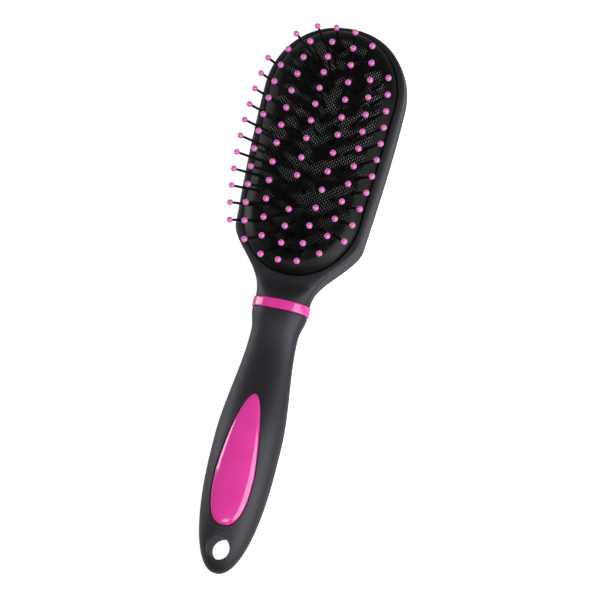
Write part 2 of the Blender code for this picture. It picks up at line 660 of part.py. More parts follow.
def make_inlay(parts, cutters, surface):
    """Glossy teardrop plate, a little proud of the handle, on two pegs."""
    body = inlay_body("inlay", 0.0, 0.0, INLAY_PROUD, INLAY_BEVEL)
    inlay = new_object("handle_inlay", body, parts, [surface])
    pegs = peg_mesh("inlay_pegs", PEG_WIDTH / 2, PEG_LENGTH, INLAY_THICKNESS / 2)
    cut(inlay, new_object("inlay_pegs", pegs, cutters), "pegs", "UNION")
    return inlay


def main():
    for obj in list(bpy.data.objects):
        bpy.data.objects.remove(obj)
    parts = bpy.data.collections.new("cushion_brush")
    cutters = bpy.data.collections.new("cutters")
    for collection in (parts, cutters):
        bpy.context.scene.collection.children.link(collection)

    soft_plastic = material("soft_touch_plastic", (0.020, 0.020, 0.0215), 0.5)
    rubber = material("cushion_rubber", (0.006, 0.006, 0.0065), 0.45)
    pin_plastic = material("pin_plastic", (0.012, 0.012, 0.013), 0.35)
    pink_ball = material("pink_ball", (0.86, 0.24, 0.50), 0.3)
    pink_gloss = material("pink_gloss", (0.80, 0.13, 0.43), 0.2)

    columns, vent = pin_columns()
    make_head_shell(parts, cutters, soft_plastic)
    make_cushion(parts, cutters, columns, vent, rubber)
    for number, pins in enumerate(columns, start=1):
        make_pin_strip(number, pins, parts, cutters, pin_plastic, pink_ball)
    make_collar(parts, pink_gloss)
    make_handle(parts, cutters, soft_plastic)
    make_inlay(parts, cutters, pink_gloss)

    for cutter in cutters.objects:
        cutter.hide_render = True
        cutter.display_type = "WIRE"


main()
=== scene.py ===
# %% [markdown]
# # A cushion brush
# A cushion brush is a hair brush with a soft rubber pad. The pad bulges out of a hollow head, and
# the air behind it lets the pins give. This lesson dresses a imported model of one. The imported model
# says where each part is and how it moves, and its coarse solids are good for physics. Here each
# solid gets a fine surface, worked out as a formula on a grid of points, and a material made of
# nodes. X runs across the head, Y towards its top, and Z up along the pins.

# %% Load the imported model
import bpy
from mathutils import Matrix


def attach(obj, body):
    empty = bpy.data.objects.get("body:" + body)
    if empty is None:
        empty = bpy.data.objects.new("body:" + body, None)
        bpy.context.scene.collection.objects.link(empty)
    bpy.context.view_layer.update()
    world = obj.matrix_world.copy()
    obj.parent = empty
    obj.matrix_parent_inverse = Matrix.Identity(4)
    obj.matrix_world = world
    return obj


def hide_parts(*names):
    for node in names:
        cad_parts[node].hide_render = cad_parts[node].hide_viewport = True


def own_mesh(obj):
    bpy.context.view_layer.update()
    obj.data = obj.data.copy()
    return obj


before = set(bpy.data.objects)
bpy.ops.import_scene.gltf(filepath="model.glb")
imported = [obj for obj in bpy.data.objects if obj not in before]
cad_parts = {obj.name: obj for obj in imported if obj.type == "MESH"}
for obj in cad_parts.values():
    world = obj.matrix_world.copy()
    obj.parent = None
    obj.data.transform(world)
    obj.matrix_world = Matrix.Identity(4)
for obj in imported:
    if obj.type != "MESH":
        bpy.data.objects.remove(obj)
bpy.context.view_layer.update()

# %% [markdown]
# ## Tools
# numpy works on whole arrays at once, so a surface of fifty thousand points is one formula and not
# a loop. bmesh is used only to tidy a finished grid: it merges the points that meet at a pole.

# %% Import
import math

import bmesh
import bpy
import numpy as np
from mathutils import Matrix, Vector

MM = 0.001
print("numpy", np.__version__)

# %% [markdown]
# ## Sizes
# These are the sizes of the real brush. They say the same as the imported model, so that every fine
# surface lies on its solid. Lengths are written in millimetres and kept in metres.

# %% Sizes of the head
BRUSH_LENGTH = 240 * MM
SEAM = 0.3 * MM
AXIS_HEIGHT = 10 * MM
HEAD_WIDTH, HIP_WIDTH, NECK_WIDTH = 61.8 * MM, 55.9 * MM, 23.8 * MM
HEAD_TOP_ROUND, TOP_SQUARENESS = 31.5 * MM, 2.12
FLARE_LENGTH, FLARE_LATENESS = 29.6 * MM, 1.22
NECK_THICKNESS, NECK_SQUARENESS = 14.4 * MM, 2.3
RIM_HEIGHT, BULGE_BELOW_RIM, RIM_SQUARENESS = 14.6 * MM, 3.5 * MM, 9.0
BACK_CROWN, BACK_SQUARENESS, NECK_BACK_RUN = 0.4 * MM, 4.8, 20 * MM
HEAD_TOP_Y, HANDLE_END_Y = BRUSH_LENGTH / 2, -BRUSH_LENGTH / 2
NECK_END_Y = -2.8 * MM
HIP_Y = NECK_END_Y + FLARE_LENGTH
WIDEST_Y = HEAD_TOP_Y - HEAD_TOP_ROUND
HEAD_MIDDLE_Y = 60 * MM
print("hip, mm:", round(HIP_Y / MM, 1))

# %% Sizes of the seat, the cushion and the pins
RIM_FACE, RIM_SIDE_EXTRA = 1.6 * MM, 1.1 * MM
LIP_THICKNESS, GROOVE_HEIGHT, GROOVE_DEPTH = 1.8 * MM, 2.0 * MM, 0.8 * MM
BEAD_SHELF, CHAMBER_STRAIGHT, CHAMBER_CORNER = 1.2 * MM, 5.0 * MM, 4.6 * MM
SHELL_FLOOR = 2.4 * MM
CUSHION_FROM_NECK, CUSHION_LOWER_ROUND, LOWER_RIM = 11 * MM, 28 * MM, 2.5 * MM
CROWN, RUBBER = 7.2 * MM, 1.6 * MM
COLUMN_PLACES = (11, 13, 14, 15, 14, 13, 11)
COLUMN_TOP_MARGINS = (25.5, 15.1, 11.6, 11.4, 11.6, 15.1, 25.5)
COLUMN_LOW_MARGINS = (19, 13.5, 9.7, 9.1, 9.7, 13.5, 19)
MIDDLE_COLUMN, VENT_PLACE = 3, 4
FIELD_SIDE_MARGIN, COLUMN_GATHER = 9.9 * MM, 0.29
PIN_LENGTH, PIN_WIDTH, BALL_WIDTH = 15.0 * MM, 1.1 * MM, 2.6 * MM
LEAN_MOST, LEAN_RISE = math.radians(38), 0.72
LEAN_ACROSS, LEAN_UPWARDS, LEAN_DOWNWARDS = 24 * MM, 130 * MM, 84 * MM
WEB_THICKNESS, WEB_CLEARANCE, WEB_HALF_WIDTH = 1.3 * MM, 0.5 * MM, 1.1 * MM
WEB_OVERHANG = 1.6 * MM
LOWER_CENTRE_Y = NECK_END_Y + CUSHION_FROM_NECK + CUSHION_LOWER_ROUND
GROOVE_TOP = RIM_HEIGHT - LIP_THICKNESS
GROOVE_FLOOR = GROOVE_TOP - GROOVE_HEIGHT
CHAMBER_BEND = GROOVE_FLOOR - CHAMBER_STRAIGHT
print("pins:", sum(COLUMN_PLACES) - 1, "and one air vent")

# %% Sizes of the handle, its collar ring and its inlay
COLLAR_LENGTH, COLLAR_PROUD = 4.1 * MM, 0.6 * MM
COLLAR_EDGE, COLLAR_BULGE = 0.4 * MM, 0.05 * MM
COLLAR_TOP_Y = NECK_END_Y - SEAM
COLLAR_LOW_Y = COLLAR_TOP_Y - COLLAR_LENGTH
HANDLE_TOP_Y = COLLAR_LOW_Y - SEAM
SHOULDER_HALF_WIDTH = NECK_WIDTH / 2 + 0.1 * MM
SHOULDER_HALF_THICKNESS = NECK_THICKNESS / 2 + 0.1 * MM
WAIST_DEPTH, WAIST_Y = 1.8 * MM, HANDLE_TOP_Y - 9.5 * MM
SCOOP_DEPTH, SCOOP_Y = 2.4 * MM, HANDLE_TOP_Y - 17 * MM
GRIP_WIDTH, GRIP_Y, GRIP_SQUARENESS = 28.8 * MM, HANDLE_END_Y + 56 * MM, 2.3
GRIP_HEIGHT, GRIP_RISE, GRIP_DROP = 8.4 * MM, 9.8 * MM, 8.6 * MM
END_ROUND, END_HEIGHT, END_SQUARENESS = 50 * MM, 7 * MM, 2.2
END_ROUND_Y = HANDLE_END_Y + END_ROUND
HANG_HOLE_RADIUS, HANG_HOLE_Y = 4.8 * MM, HANDLE_END_Y + 10.3 * MM
INLAY_HALF_WIDTH, INLAY_UPPER, INLAY_LOWER = 8.45 * MM, 34.5 * MM, 21.6 * MM
INLAY_Y = HANG_HOLE_Y + HANG_HOLE_RADIUS + 4.5 * MM + INLAY_LOWER
INLAY_UPPER_TAPER, INLAY_LOWER_SQUARENESS = 1.25, 2.5
INLAY_THICKNESS, INLAY_PROUD = 2.0 * MM, 0.3 * MM
BEVEL_WIDTH, BEVEL_DROP = 2.0 * MM, 0.75 * MM
PEG_RADIUS, PEG_LENGTH = 1.5 * MM, 3 * MM
PEG_YS = (INLAY_Y - 6.5 * MM, INLAY_Y + 19.5 * MM)
TANG_END_Y = INLAY_Y + INLAY_UPPER + 5.5 * MM
TANG_HALF_WIDTH = NECK_WIDTH / 2 - 3.7 * MM
TANG_HALF_THICKNESS = NECK_THICKNESS / 2 - 3.6 * MM
TANG_TAPER, TANG_SQUARENESS = 1.2 * MM, 3.2
STEP_LENGTH, STEP_INSET = SEAM - 0.04 * MM, 0.6 * MM
print("inlay, mm:", round(INLAY_Y / MM, 1), "end of the tang, mm:", round(TANG_END_Y / MM, 1))

# %% [markdown]
# ## A few small formulas
# Most of the brush is made of these: a soft step, the superellipse, which is an ellipse whose
# exponent can be raised to make it squarer, a quarter round for edges, and a bell for marks.

# %% Step, superellipse, bell
def ease(t):
    """3 t squared less 2 t cubed, with t kept between 0 and 1: a step, level at both ends."""
    t = np.clip(t, 0.0, 1.0)
    return t * t * (3 - 2 * t)


def blend(low, high, at, start, end):
    """low plus the difference times the soft step of the way from start to end."""
    return low + (high - low) * ease((at - start) / (end - start))


def squared(t, exponent):
    """The nth root of one less t to the n: the height of a superellipse of unit size."""
    t = np.clip(np.abs(t), 0.0, 1.0)
    return (1 - t ** exponent) ** (1 / exponent)


def signed_power(value, exponent):
    """The size raised to the exponent, with the sign kept."""
    return np.sign(value) * np.abs(np.round(value, 12)) ** exponent


def bell(distance, width):
    """e to the minus square of distance over width: 1 at no distance, fading either way."""
    return np.exp(-(distance / width) ** 2)


print("soft step at a quarter:", float(ease(0.25)))


# %% Turns and even steps
def quarter_turn(count):
    """Angles in even steps from 0 to a right angle."""
    return np.linspace(0, math.pi / 2, count)


def whole_turn(count):
    """Angles in even steps all the way round, without a repeat of the first."""
    return np.arange(count) * 2 * math.pi / count


def quarter_round(count):
    """The rows of a rounded edge: 1 less the sine falls to 0, 1 less the cosine climbs to 1."""
    return np.stack([1 - np.sin(quarter_turn(count)), 1 - np.cos(quarter_turn(count))])


def even_steps(fine, x, y, count):
    """Values of fine at even steps of the running length of the curve of x and y."""
    run = np.concatenate([[0], np.cumsum(np.hypot(np.diff(x), np.diff(y)))])
    return np.interp(np.linspace(0, run[-1], count), run, fine)


def unit(vectors):
    """Each vector over its own length."""
    return vectors / np.linalg.norm(vectors, axis=-1, keepdims=True)


print("corner of a quarter round:", np.round(quarter_round(3)[:, 1], 3))

# %% [markdown]
# ## From grids to meshes
# A grid of points becomes a mesh when each point is joined to the next in its row and column. The
# helper below numbers all the faces at once. Rows that shrink to one point make a pole, and the
# merge closes it.

# %% Grid helpers
def grid_faces(rows, columns, start=0, looped=False):
    """Corner numbers of the quads between neighbouring rows, whose columns run round in a loop."""
    last = rows if looped else rows - 1
    r, c = np.meshgrid(np.arange(last), np.arange(columns), indexing="ij")
    r_next, c_next = (r + 1) % rows, (c + 1) % columns
    corners = ((r, c), (r, c_next), (r_next, c_next), (r_next, c))
    quads = np.stack([row * columns + column for row, column in corners], -1)
    return quads.reshape(-1, 4) + start


def mesh_of(name, points, faces):
    """Puts arrays of points and quads into a mesh, merges doubles and turns the faces outwards."""
    mesh = bpy.data.meshes.new(name)
    mesh.from_pydata(points.reshape(-1, 3).tolist(), [], faces.tolist())
    bm = bmesh.new()
    bm.from_mesh(mesh)
    bmesh.ops.remove_doubles(bm, verts=bm.verts, dist=1e-7)
    bmesh.ops.dissolve_degenerate(bm, edges=bm.edges, dist=1e-7)
    bmesh.ops.recalc_face_normals(bm, faces=bm.faces)
    bm.to_mesh(mesh)
    bm.free()
    return mesh


def grid_mesh(name, grid, looped=False):
    """A mesh over one grid of points, given as rows by columns by 3."""
    return mesh_of(name, grid, grid_faces(*grid.shape[:2], looped=looped))


print("a 3 by 4 grid has", len(grid_faces(3, 4)), "faces")


# %% Piece helpers
def new_object(name, data):
    """An object that holds a mesh, a lamp or a camera, linked into the scene."""
    made = bpy.data.objects.new(name, data)
    bpy.context.scene.collection.objects.link(made)
    return made


def add_piece(mesh, body, slot, *replaced, sharp=40):
    """Links a mesh as a piece that rides on a body and stands for CAD nodes."""
    piece = new_object(mesh.name, mesh)
    mesh.shade_smooth()
    mesh.set_sharp_from_angle(angle=math.radians(sharp))
    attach(piece, body)
    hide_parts(*replaced)
    print(piece.name, len(mesh.vertices), "points on", body)
    return piece


def mark(mesh, name, values):
    """Writes one number a point as an attribute that a material can read."""
    attribute = mesh.attributes.new(name, "FLOAT", "POINT")
    attribute.data.foreach_set("value", np.asarray(values, dtype=np.float32))


def vectors_of(items, name="co"):
    """A vector for each point or face as an array."""
    flat = np.empty(len(items) * 3)
    items.foreach_get(name, flat)
    return flat.reshape(-1, 3)


print("helpers ready")

# %% [markdown]
# ## The head's outline
# Seen from the pins, the neck flares out into nearly straight sides, and half a superellipse closes
# the top. The share says how far out a point is: 0 on the middle line and 1 on the outline.

# %% Outline of the head
def head_half_width(y):
    """A soft step up the flare, a quarter sine along the sides, and a superellipse over the top."""
    share = np.clip((y - NECK_END_Y) / FLARE_LENGTH, 0, 1) ** FLARE_LATENESS
    flare = blend(NECK_WIDTH, HIP_WIDTH, share, 0, 1) / 2
    along = np.clip((y - HIP_Y) / (WIDEST_Y - HIP_Y), 0, 1)
    sides = (HIP_WIDTH + (HEAD_WIDTH - HIP_WIDTH) * np.sin(math.pi / 2 * along)) / 2
    top = HEAD_WIDTH / 2 * squared((y - WIDEST_Y) / HEAD_TOP_ROUND, TOP_SQUARENESS)
    return np.where(y <= HIP_Y, flare, np.where(y <= WIDEST_Y, sides, top))


def head_share(x, y):
    """Distance across over half width, and round the top the superellipse's own radius."""
    beside = np.abs(x) / head_half_width(np.minimum(y, WIDEST_Y))
    above = np.maximum(0, (y - WIDEST_Y) / HEAD_TOP_ROUND)
    n = TOP_SQUARENESS
    return np.clip((beside ** n + above ** n) ** (1 / n), 0, 1)


print("half width at the hip, mm:", round(float(head_half_width(HIP_Y)) / MM, 2))

# %% [markdown]
# The front and the back of the head are heights over that outline. Both are superellipses of the
# share, so the rim turns over softly into the side wall and the back rounds under the head.

# %% Heights of the head's front and back
SLOPE_END_Y = NECK_END_Y + CUSHION_FROM_NECK - LOWER_RIM
BACK_END_Y = NECK_END_Y + NECK_BACK_RUN


def head_middle(y):
    """Height where the head is widest, which climbs from the neck's axis by a soft step."""
    return blend(AXIS_HEIGHT, RIM_HEIGHT - BULGE_BELOW_RIM, y, NECK_END_Y, HIP_Y)


def head_front(x, y):
    """Middle plus rise times the superellipse of the share, squarer the farther from the neck."""
    top = blend(AXIS_HEIGHT + NECK_THICKNESS / 2, RIM_HEIGHT, y, NECK_END_Y, SLOPE_END_Y)
    power = blend(NECK_SQUARENESS, RIM_SQUARENESS, y, NECK_END_Y, BACK_END_Y)
    return head_middle(y) + (top - head_middle(y)) * squared(head_share(x, y), power)


def head_back(x, y):
    """Middle less drop times the superellipse of the share, cut flat at the table."""
    low = blend(AXIS_HEIGHT - NECK_THICKNESS / 2, -BACK_CROWN, y, NECK_END_Y, BACK_END_Y)
    power = blend(NECK_SQUARENESS, BACK_SQUARENESS, y, NECK_END_Y, BACK_END_Y)
    return np.maximum(0, head_middle(y) - (head_middle(y) - low) * squared(head_share(x, y), power))


print("rim height, mm:", round(float(head_front(0.0, HEAD_MIDDLE_Y)) / MM, 2))

# %% [markdown]
# ## The cushion's oval
# The cushion sits inside the outline, in an oval with a round top, a round bottom and straight
# sides. Every ring of the seat and of the cushion is this oval at some inset.

# %% Oval
def oval_radii(inset):
    """Across and along radii of the top round, then of the lower round, each less the inset."""
    side = inset + RIM_SIDE_EXTRA
    lower_half = float(head_half_width(LOWER_CENTRE_Y))
    lower_along = CUSHION_LOWER_ROUND + RIM_FACE - inset
    return HEAD_WIDTH / 2 - side, HEAD_TOP_ROUND - inset, lower_half - side, lower_along


def oval_share(x, y, inset):
    """0 on the middle line and 1 on the oval: an ellipse's radius at the ends, widths between."""
    top_x, top_y, low_x, low_y = oval_radii(inset)
    along = np.clip((y - LOWER_CENTRE_Y) / (WIDEST_Y - LOWER_CENTRE_Y), 0, 1)
    beside = np.abs(x) / (low_x + (top_x - low_x) * along)
    beyond = np.maximum(0, y - WIDEST_Y) / top_y + np.maximum(0, LOWER_CENTRE_Y - y) / low_y
    return np.hypot(beside, beyond)


def cushion_top(x, y):
    """Rim height plus crown times the height of a unit ellipse at the share."""
    return RIM_HEIGHT + CROWN * squared(oval_share(x, y, RIM_FACE + SEAM), 2)


print("top of the cushion, mm:", round(float(cushion_top(0.0, HEAD_MIDDLE_Y)) / MM, 2))

# %% [markdown]
# ## Head shell
# The real shell is one moulding with a soft coating. Its grid is a fan of spokes: each column
# starts in the middle of the air chamber, climbs its wall, passes under the lip and over the rim,
# goes down the side wall, and ends in the middle of the back. One closed surface has no seam.

# %% Ends of the spokes
HUB = np.array([0.0, HEAD_MIDDLE_Y])
NECK_CORNER = 0.4 * MM


def head_outline(end=16, corner=5, flare=60, side=38, top=61):
    """Points round the outline from the neck's end over one side, with the other side mirrored."""
    end_x = np.linspace(0, NECK_WIDTH / 2 - NECK_CORNER, end + 1)[:-1]
    inward, onward = NECK_CORNER * quarter_round(corner)
    flare_y = np.linspace(NECK_END_Y + NECK_CORNER, HIP_Y, flare + 2)[1:-1]
    side_y = np.concatenate([flare_y, np.linspace(HIP_Y, WIDEST_Y, side)])
    turn = quarter_turn(top + 1)[1:]
    top_x = HEAD_WIDTH / 2 * signed_power(np.cos(turn), 2 / TOP_SQUARENESS)
    top_y = WIDEST_Y + HEAD_TOP_ROUND * np.sin(turn) ** (2 / TOP_SQUARENESS)
    x = np.concatenate([end_x, NECK_WIDTH / 2 - inward, head_half_width(side_y), top_x])
    y = np.concatenate([np.full(end, NECK_END_Y), NECK_END_Y + onward, side_y, top_y])
    half = np.stack([x, y], 1)
    return np.concatenate([half, (half * (-1, 1))[-2:0:-1]])


outline = head_outline()
print("spokes:", len(outline))


# %% Rings of the seat along the spokes
def on_spokes(share):
    """The point on each spoke at that share of the way from the hub to the outline."""
    return HUB + (outline - HUB) * np.broadcast_to(share, len(outline))[:, None]


def ring_on_spokes(inset, farthest=1.2, halvings=40):
    """Where each spoke crosses the oval, found by halving the stretch that holds the crossing."""
    near, far = np.zeros(len(outline)), np.full(len(outline), farthest)
    for _ in range(halvings):
        middle = (near + far) / 2
        outside = oval_share(*on_spokes(middle).T, inset) > 1
        near, far = np.where(outside, near, middle), np.where(outside, middle, far)
    return on_spokes(near)


def level(flat, height):
    """A ring lifted to one height, or to one height a point."""
    return np.column_stack([flat, np.broadcast_to(height, len(flat))])


chamber = RIM_FACE + BEAD_SHELF
seat = [level(on_spokes(0.0), SHELL_FLOOR)]
seat += [level(ring_on_spokes(chamber + CHAMBER_CORNER * inward),
               SHELL_FLOOR + (CHAMBER_BEND - SHELL_FLOOR) * climb)
         for inward, climb in quarter_round(6).T]
seat += [level(ring_on_spokes(inset), height) for inset, height in (
    (chamber, GROOVE_FLOOR), (RIM_FACE - GROOVE_DEPTH, GROOVE_FLOOR),
    (RIM_FACE - GROOVE_DEPTH, GROOVE_TOP), (RIM_FACE, GROOVE_TOP))]
print("rings in the seat:", len(seat))

# %% [markdown]
# The rows over the rim are close together near the outline, where the surface turns fast. A mix of
# a straight law and a power does that and still leaves enough rows on the slope of the neck.

# %% Rim, side wall and back
EDGE_ROUND = 0.35 * MM


def crowded(t, straight, power):
    """A straight part of t and the rest of t to the power, which crowds the values near 0."""
    return straight * t + (1 - straight) * t ** power


def rows_between(start, stop, distance, height):
    """Rows from ring to ring at these shares of the distance from the stop, lifted to a height."""
    flat = stop + (start - stop) * distance[:, None, None]
    return [level(row, height(*row.T)) for row in flat]


edge = []
for drop, onward in EDGE_ROUND * quarter_round(5).T[:-1]:
    flat = ring_on_spokes(RIM_FACE - onward)
    edge.append(level(flat, head_front(*flat.T) - drop))
inner = ring_on_spokes(RIM_FACE - EDGE_ROUND)
front = rows_between(inner, outline, crowded(np.linspace(1, 0, 36), 0.3, 4), head_front)
wall = [level(outline, head_middle(outline[:, 1]))]
back = rows_between(HUB, outline, crowded(np.linspace(0, 1, 44), 0.04, 2.6), head_back)
shell_grid = np.array(seat + edge + front + wall + back)
print("shell grid:", shell_grid.shape)


# %% [markdown]
# The tang is the tongue behind the neck that the handle is pressed onto. It is hidden in the
# finished brush, but it is part of the moulding, so it is modelled too. A low step round it, and
# one on the handle, fill the seams beside the collar ring, so that no light shows through them.

# %% Sections of the neck and tang
TANG_ROOT, STEP_ROOT, TANG_TIP_ROW = 1 * MM, 0.5 * MM, 0.5 * MM


def ellipse_ring(y, half_width, half_thickness, exponent, columns=96):
    """Superellipse round the brush's axis: signed powers of cosine and sine, at one y or many."""
    y, half_width, half_thickness = (
        np.reshape(value, (-1, 1)) for value in (y, half_width, half_thickness))
    angle = whole_turn(columns)
    x = half_width * signed_power(np.cos(angle), 2 / exponent)
    z = AXIS_HEIGHT + half_thickness * signed_power(np.sin(angle), 2 / exponent)
    return np.stack(np.broadcast_arrays(x, y, z), -1)


def tang_rings(ys, grow=0.0, columns=96):
    """Tang sections: each half size less a taper that grows along the tang."""
    taper = TANG_TAPER * (NECK_END_Y - np.array(ys)) / (NECK_END_Y - TANG_END_Y)
    half_sizes = (half - taper + grow for half in (TANG_HALF_WIDTH, TANG_HALF_THICKNESS))
    return ellipse_ring(ys, *half_sizes, TANG_SQUARENESS, columns)


def capped(rings):
    """Rings with a pole added at each end, in the middle of the end ring."""
    poles = [np.broadcast_to(ring.mean(0), ring.shape)[None] for ring in (rings[0], rings[-1])]
    return np.concatenate([poles[0], rings, poles[1]])


tang_ys = [NECK_END_Y + TANG_ROOT, NECK_END_Y, TANG_END_Y + TANG_TIP_ROW, TANG_END_Y]
tang = capped(tang_rings(tang_ys))
step_ys = [NECK_END_Y + STEP_ROOT, NECK_END_Y - STEP_LENGTH]
step = capped(ellipse_ring(step_ys, NECK_WIDTH / 2 - STEP_INSET,
                           NECK_THICKNESS / 2 - STEP_INSET, NECK_SQUARENESS))
print("tang rings:", len(tang), "step rings:", len(step))

# %% Make the head shell
RIM_WEAR, WEAR_FROM_HEIGHT, WEAR_TO_HEIGHT = 0.9 * MM, 9 * MM, 13 * MM


def joined(*grids):
    """The points and the faces of several separate grids in two arrays."""
    starts = np.cumsum([0] + [grid.shape[0] * grid.shape[1] for grid in grids])
    faces = [grid_faces(*grid.shape[:2], start=start) for grid, start in zip(grids, starts)]
    return np.concatenate([grid.reshape(-1, 3) for grid in grids]), np.concatenate(faces)


shell_mesh = mesh_of("head_shell_skin", *joined(shell_grid, tang, step))
x, y, z = vectors_of(shell_mesh.vertices).T
from_outline = (1 - head_share(x, y)) * HEAD_WIDTH / 2
high_up = blend(0, 1, z, WEAR_FROM_HEIGHT, WEAR_TO_HEIGHT)
mark(shell_mesh, "wear", bell(from_outline, RIM_WEAR) * high_up)
head_shell = add_piece(shell_mesh, "brush", "soft_touch", "head_shell")

# %% [markdown]
# ## Cushion
# The real pad is a sheet of black rubber, moulded into a dome and held by a bead under the rim. A
# cloth simulation would wrinkle it like a pillow, and moulded rubber has no wrinkles, so the dome
# is worked out as a formula. Its columns run round the oval, and its rows climb from the edge.

# %% Walk round the oval
def half_round(centre, count, way):
    """Half a turn of cosine and sine about a centre, upwards or downwards, in columns of four."""
    turn = np.linspace(0, math.pi, count + 1)
    ones = np.ones_like(turn)
    return np.stack([centre * ones, way * np.cos(turn), way * np.sin(turn), (way > 0) * ones], 1)


def oval_walk(top=220, side=150, low=190):
    """For each column: centre on the middle line, unit offset, and the share of the top's radii."""
    down = np.linspace(1, 0, side + 1)[1:-1]
    zero = np.zeros_like(down)
    centres = LOWER_CENTRE_Y + (WIDEST_Y - LOWER_CENTRE_Y) * down
    left = np.stack([centres, zero - 1, zero, down], 1)
    upper, lower = half_round(WIDEST_Y, top, 1), half_round(LOWER_CENTRE_Y, low, -1)
    return np.concatenate([upper, left, lower, (left * (1, -1, 1, 1))[::-1]])


def oval_rows(walk, inset, share, height):
    """Rings of the oval at that inset, shrunk to each share, at each height."""
    top_x, top_y, low_x, low_y = oval_radii(inset)
    centre, across, along, mix = walk.T
    share, height = np.reshape(share, (-1, 1)), np.reshape(height, (-1, 1))
    x = share * across * (low_x + (top_x - low_x) * mix)
    y = centre + share * along * np.where(along > 0, top_y, low_y)
    return np.stack(np.broadcast_arrays(x, y, height), -1)


walk = oval_walk()
print("columns round the cushion:", len(walk))

# %% [markdown]
# Pins stand in lengthwise columns that draw together towards both ends. Their roots are needed
# here, because each pulls a small dimple into the rubber, and again when the pins are made.

# %% Roots of the pins
CUSHION_TOP_Y = HEAD_TOP_Y - RIM_FACE - SEAM
CUSHION_LOW_Y = NECK_END_Y + CUSHION_FROM_NECK + SEAM
field_top = CUSHION_TOP_Y - min(COLUMN_TOP_MARGINS) * MM
field_low = CUSHION_LOW_Y + min(COLUMN_LOW_MARGINS) * MM
FIELD_MIDDLE_Y, FIELD_REACH = (field_top + field_low) / 2, (field_top - field_low) / 2


def column_roots(column):
    """Even steps along the column, and across it the pitch less a square law towards the ends."""
    top = CUSHION_TOP_Y - COLUMN_TOP_MARGINS[column] * MM
    low = CUSHION_LOW_Y + COLUMN_LOW_MARGINS[column] * MM
    y = np.linspace(low, top, COLUMN_PLACES[column])
    pitch = (HEAD_WIDTH / 2 - FIELD_SIDE_MARGIN) / MIDDLE_COLUMN
    gathered = 1 - COLUMN_GATHER * ((y - FIELD_MIDDLE_Y) / FIELD_REACH) ** 2
    x = (column - MIDDLE_COLUMN) * pitch * gathered
    return np.stack([x, y, cushion_top(x, y)], 1)


columns = [column_roots(column) for column in range(len(COLUMN_PLACES))]
vent = columns[MIDDLE_COLUMN][VENT_PLACE]
columns[MIDDLE_COLUMN] = np.delete(columns[MIDDLE_COLUMN], VENT_PLACE, 0)
all_roots = np.concatenate(columns)
print("roots:", len(all_roots), "vent at mm:", np.round(vent / MM, 1))

# %% Dome with dimples and the vent
DIMPLE_DEPTH, DIMPLE_WIDTH = 0.22 * MM, 0.8 * MM
PUCKER_HEIGHT, PUCKER_RADIUS, PUCKER_WIDTH = 0.16 * MM, 1.25 * MM, 0.45 * MM
VENT_RIM_HEIGHT, VENT_RIM_RADIUS, VENT_RIM_WIDTH = 0.3 * MM, 1.55 * MM, 0.4 * MM
WELL_DEPTH, WELL_RADIUS, WELL_TOP_RADIUS = 1.5 * MM, 0.7 * MM, 1.2 * MM


def nearest(points, places):
    """Distance across from each point to the nearest of the places, looking straight down."""
    gaps = points[..., None, :2] - places[:, :2]
    return np.sqrt((gaps ** 2).sum(-1)).min(-1)


def relief(points):
    """A bell-shaped ring round each pin, with a dimple in it, and the vent's rim and well."""
    to_pin, to_vent = nearest(points, all_roots), nearest(points, vent[None])
    pucker = PUCKER_HEIGHT * bell(to_pin - PUCKER_RADIUS, PUCKER_WIDTH)
    dimple = DIMPLE_DEPTH * bell(to_pin, DIMPLE_WIDTH)
    rim = VENT_RIM_HEIGHT * bell(to_vent - VENT_RIM_RADIUS, VENT_RIM_WIDTH)
    well = WELL_DEPTH * blend(1, 0, to_vent, WELL_RADIUS, WELL_TOP_RADIUS)
    return pucker - dimple + rim - well


fine = quarter_turn(4001)
rise = even_steps(fine, CUSHION_LOWER_ROUND * np.sin(fine), CROWN * np.cos(fine), 86)
dome = oval_rows(walk, RIM_FACE + SEAM, np.sin(rise), RIM_HEIGHT + CROWN * np.cos(rise))
dome[..., 2] += relief(dome)
print("dome grid:", dome.shape)

# %% Edge, bead and underside
FIELD_EDGE, FIELD_END = 0.79, 0.85
VENT_SHADE_RADIUS, VENT_SHADE_END = 0.75 * MM, 1.15 * MM
bead_top, bead_low = GROOVE_TOP - SEAM, GROOVE_FLOOR + SEAM
cushion_inset, bead_inset = RIM_FACE + SEAM, RIM_FACE - GROOVE_DEPTH + SEAM
skirt = [oval_rows(walk, inset, 1, height) for inset, height in (
    (cushion_inset, bead_top), (bead_inset, bead_top),
    (bead_inset, bead_low), (cushion_inset + RUBBER, bead_low))]
sink = quarter_turn(12)[::-1]
under = oval_rows(walk, cushion_inset + RUBBER, np.sin(sink),
                  RIM_HEIGHT + (CROWN - RUBBER) * np.cos(sink))
cushion_mesh = grid_mesh("cushion_skin", np.concatenate([dome, *skirt, under]))
points = vectors_of(cushion_mesh.vertices)
out = oval_share(*points[:, :2].T, cushion_inset)
mark(cushion_mesh, "field", blend(1, 0, out, FIELD_EDGE, FIELD_END))
# Painted shade in the vent's well: 1 inside the well, fading to 0 round it.
mark(cushion_mesh, "well", blend(1, 0, nearest(points, vent[None]), VENT_SHADE_RADIUS, VENT_SHADE_END))
cushion = add_piece(cushion_mesh, "brush", "cushion_rubber", "cushion")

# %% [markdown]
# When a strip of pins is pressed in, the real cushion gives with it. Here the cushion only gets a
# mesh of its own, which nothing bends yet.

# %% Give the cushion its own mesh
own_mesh(cushion)
print(cushion.name, "gives with strip 4")

# %% [markdown]
# ## Pins
# Each real pin is a slim nylon rod with a ball dipped on its tip. The pins of a column share a web
# under the rubber, so a column is one piece. All pins lean away from the middle of the field.

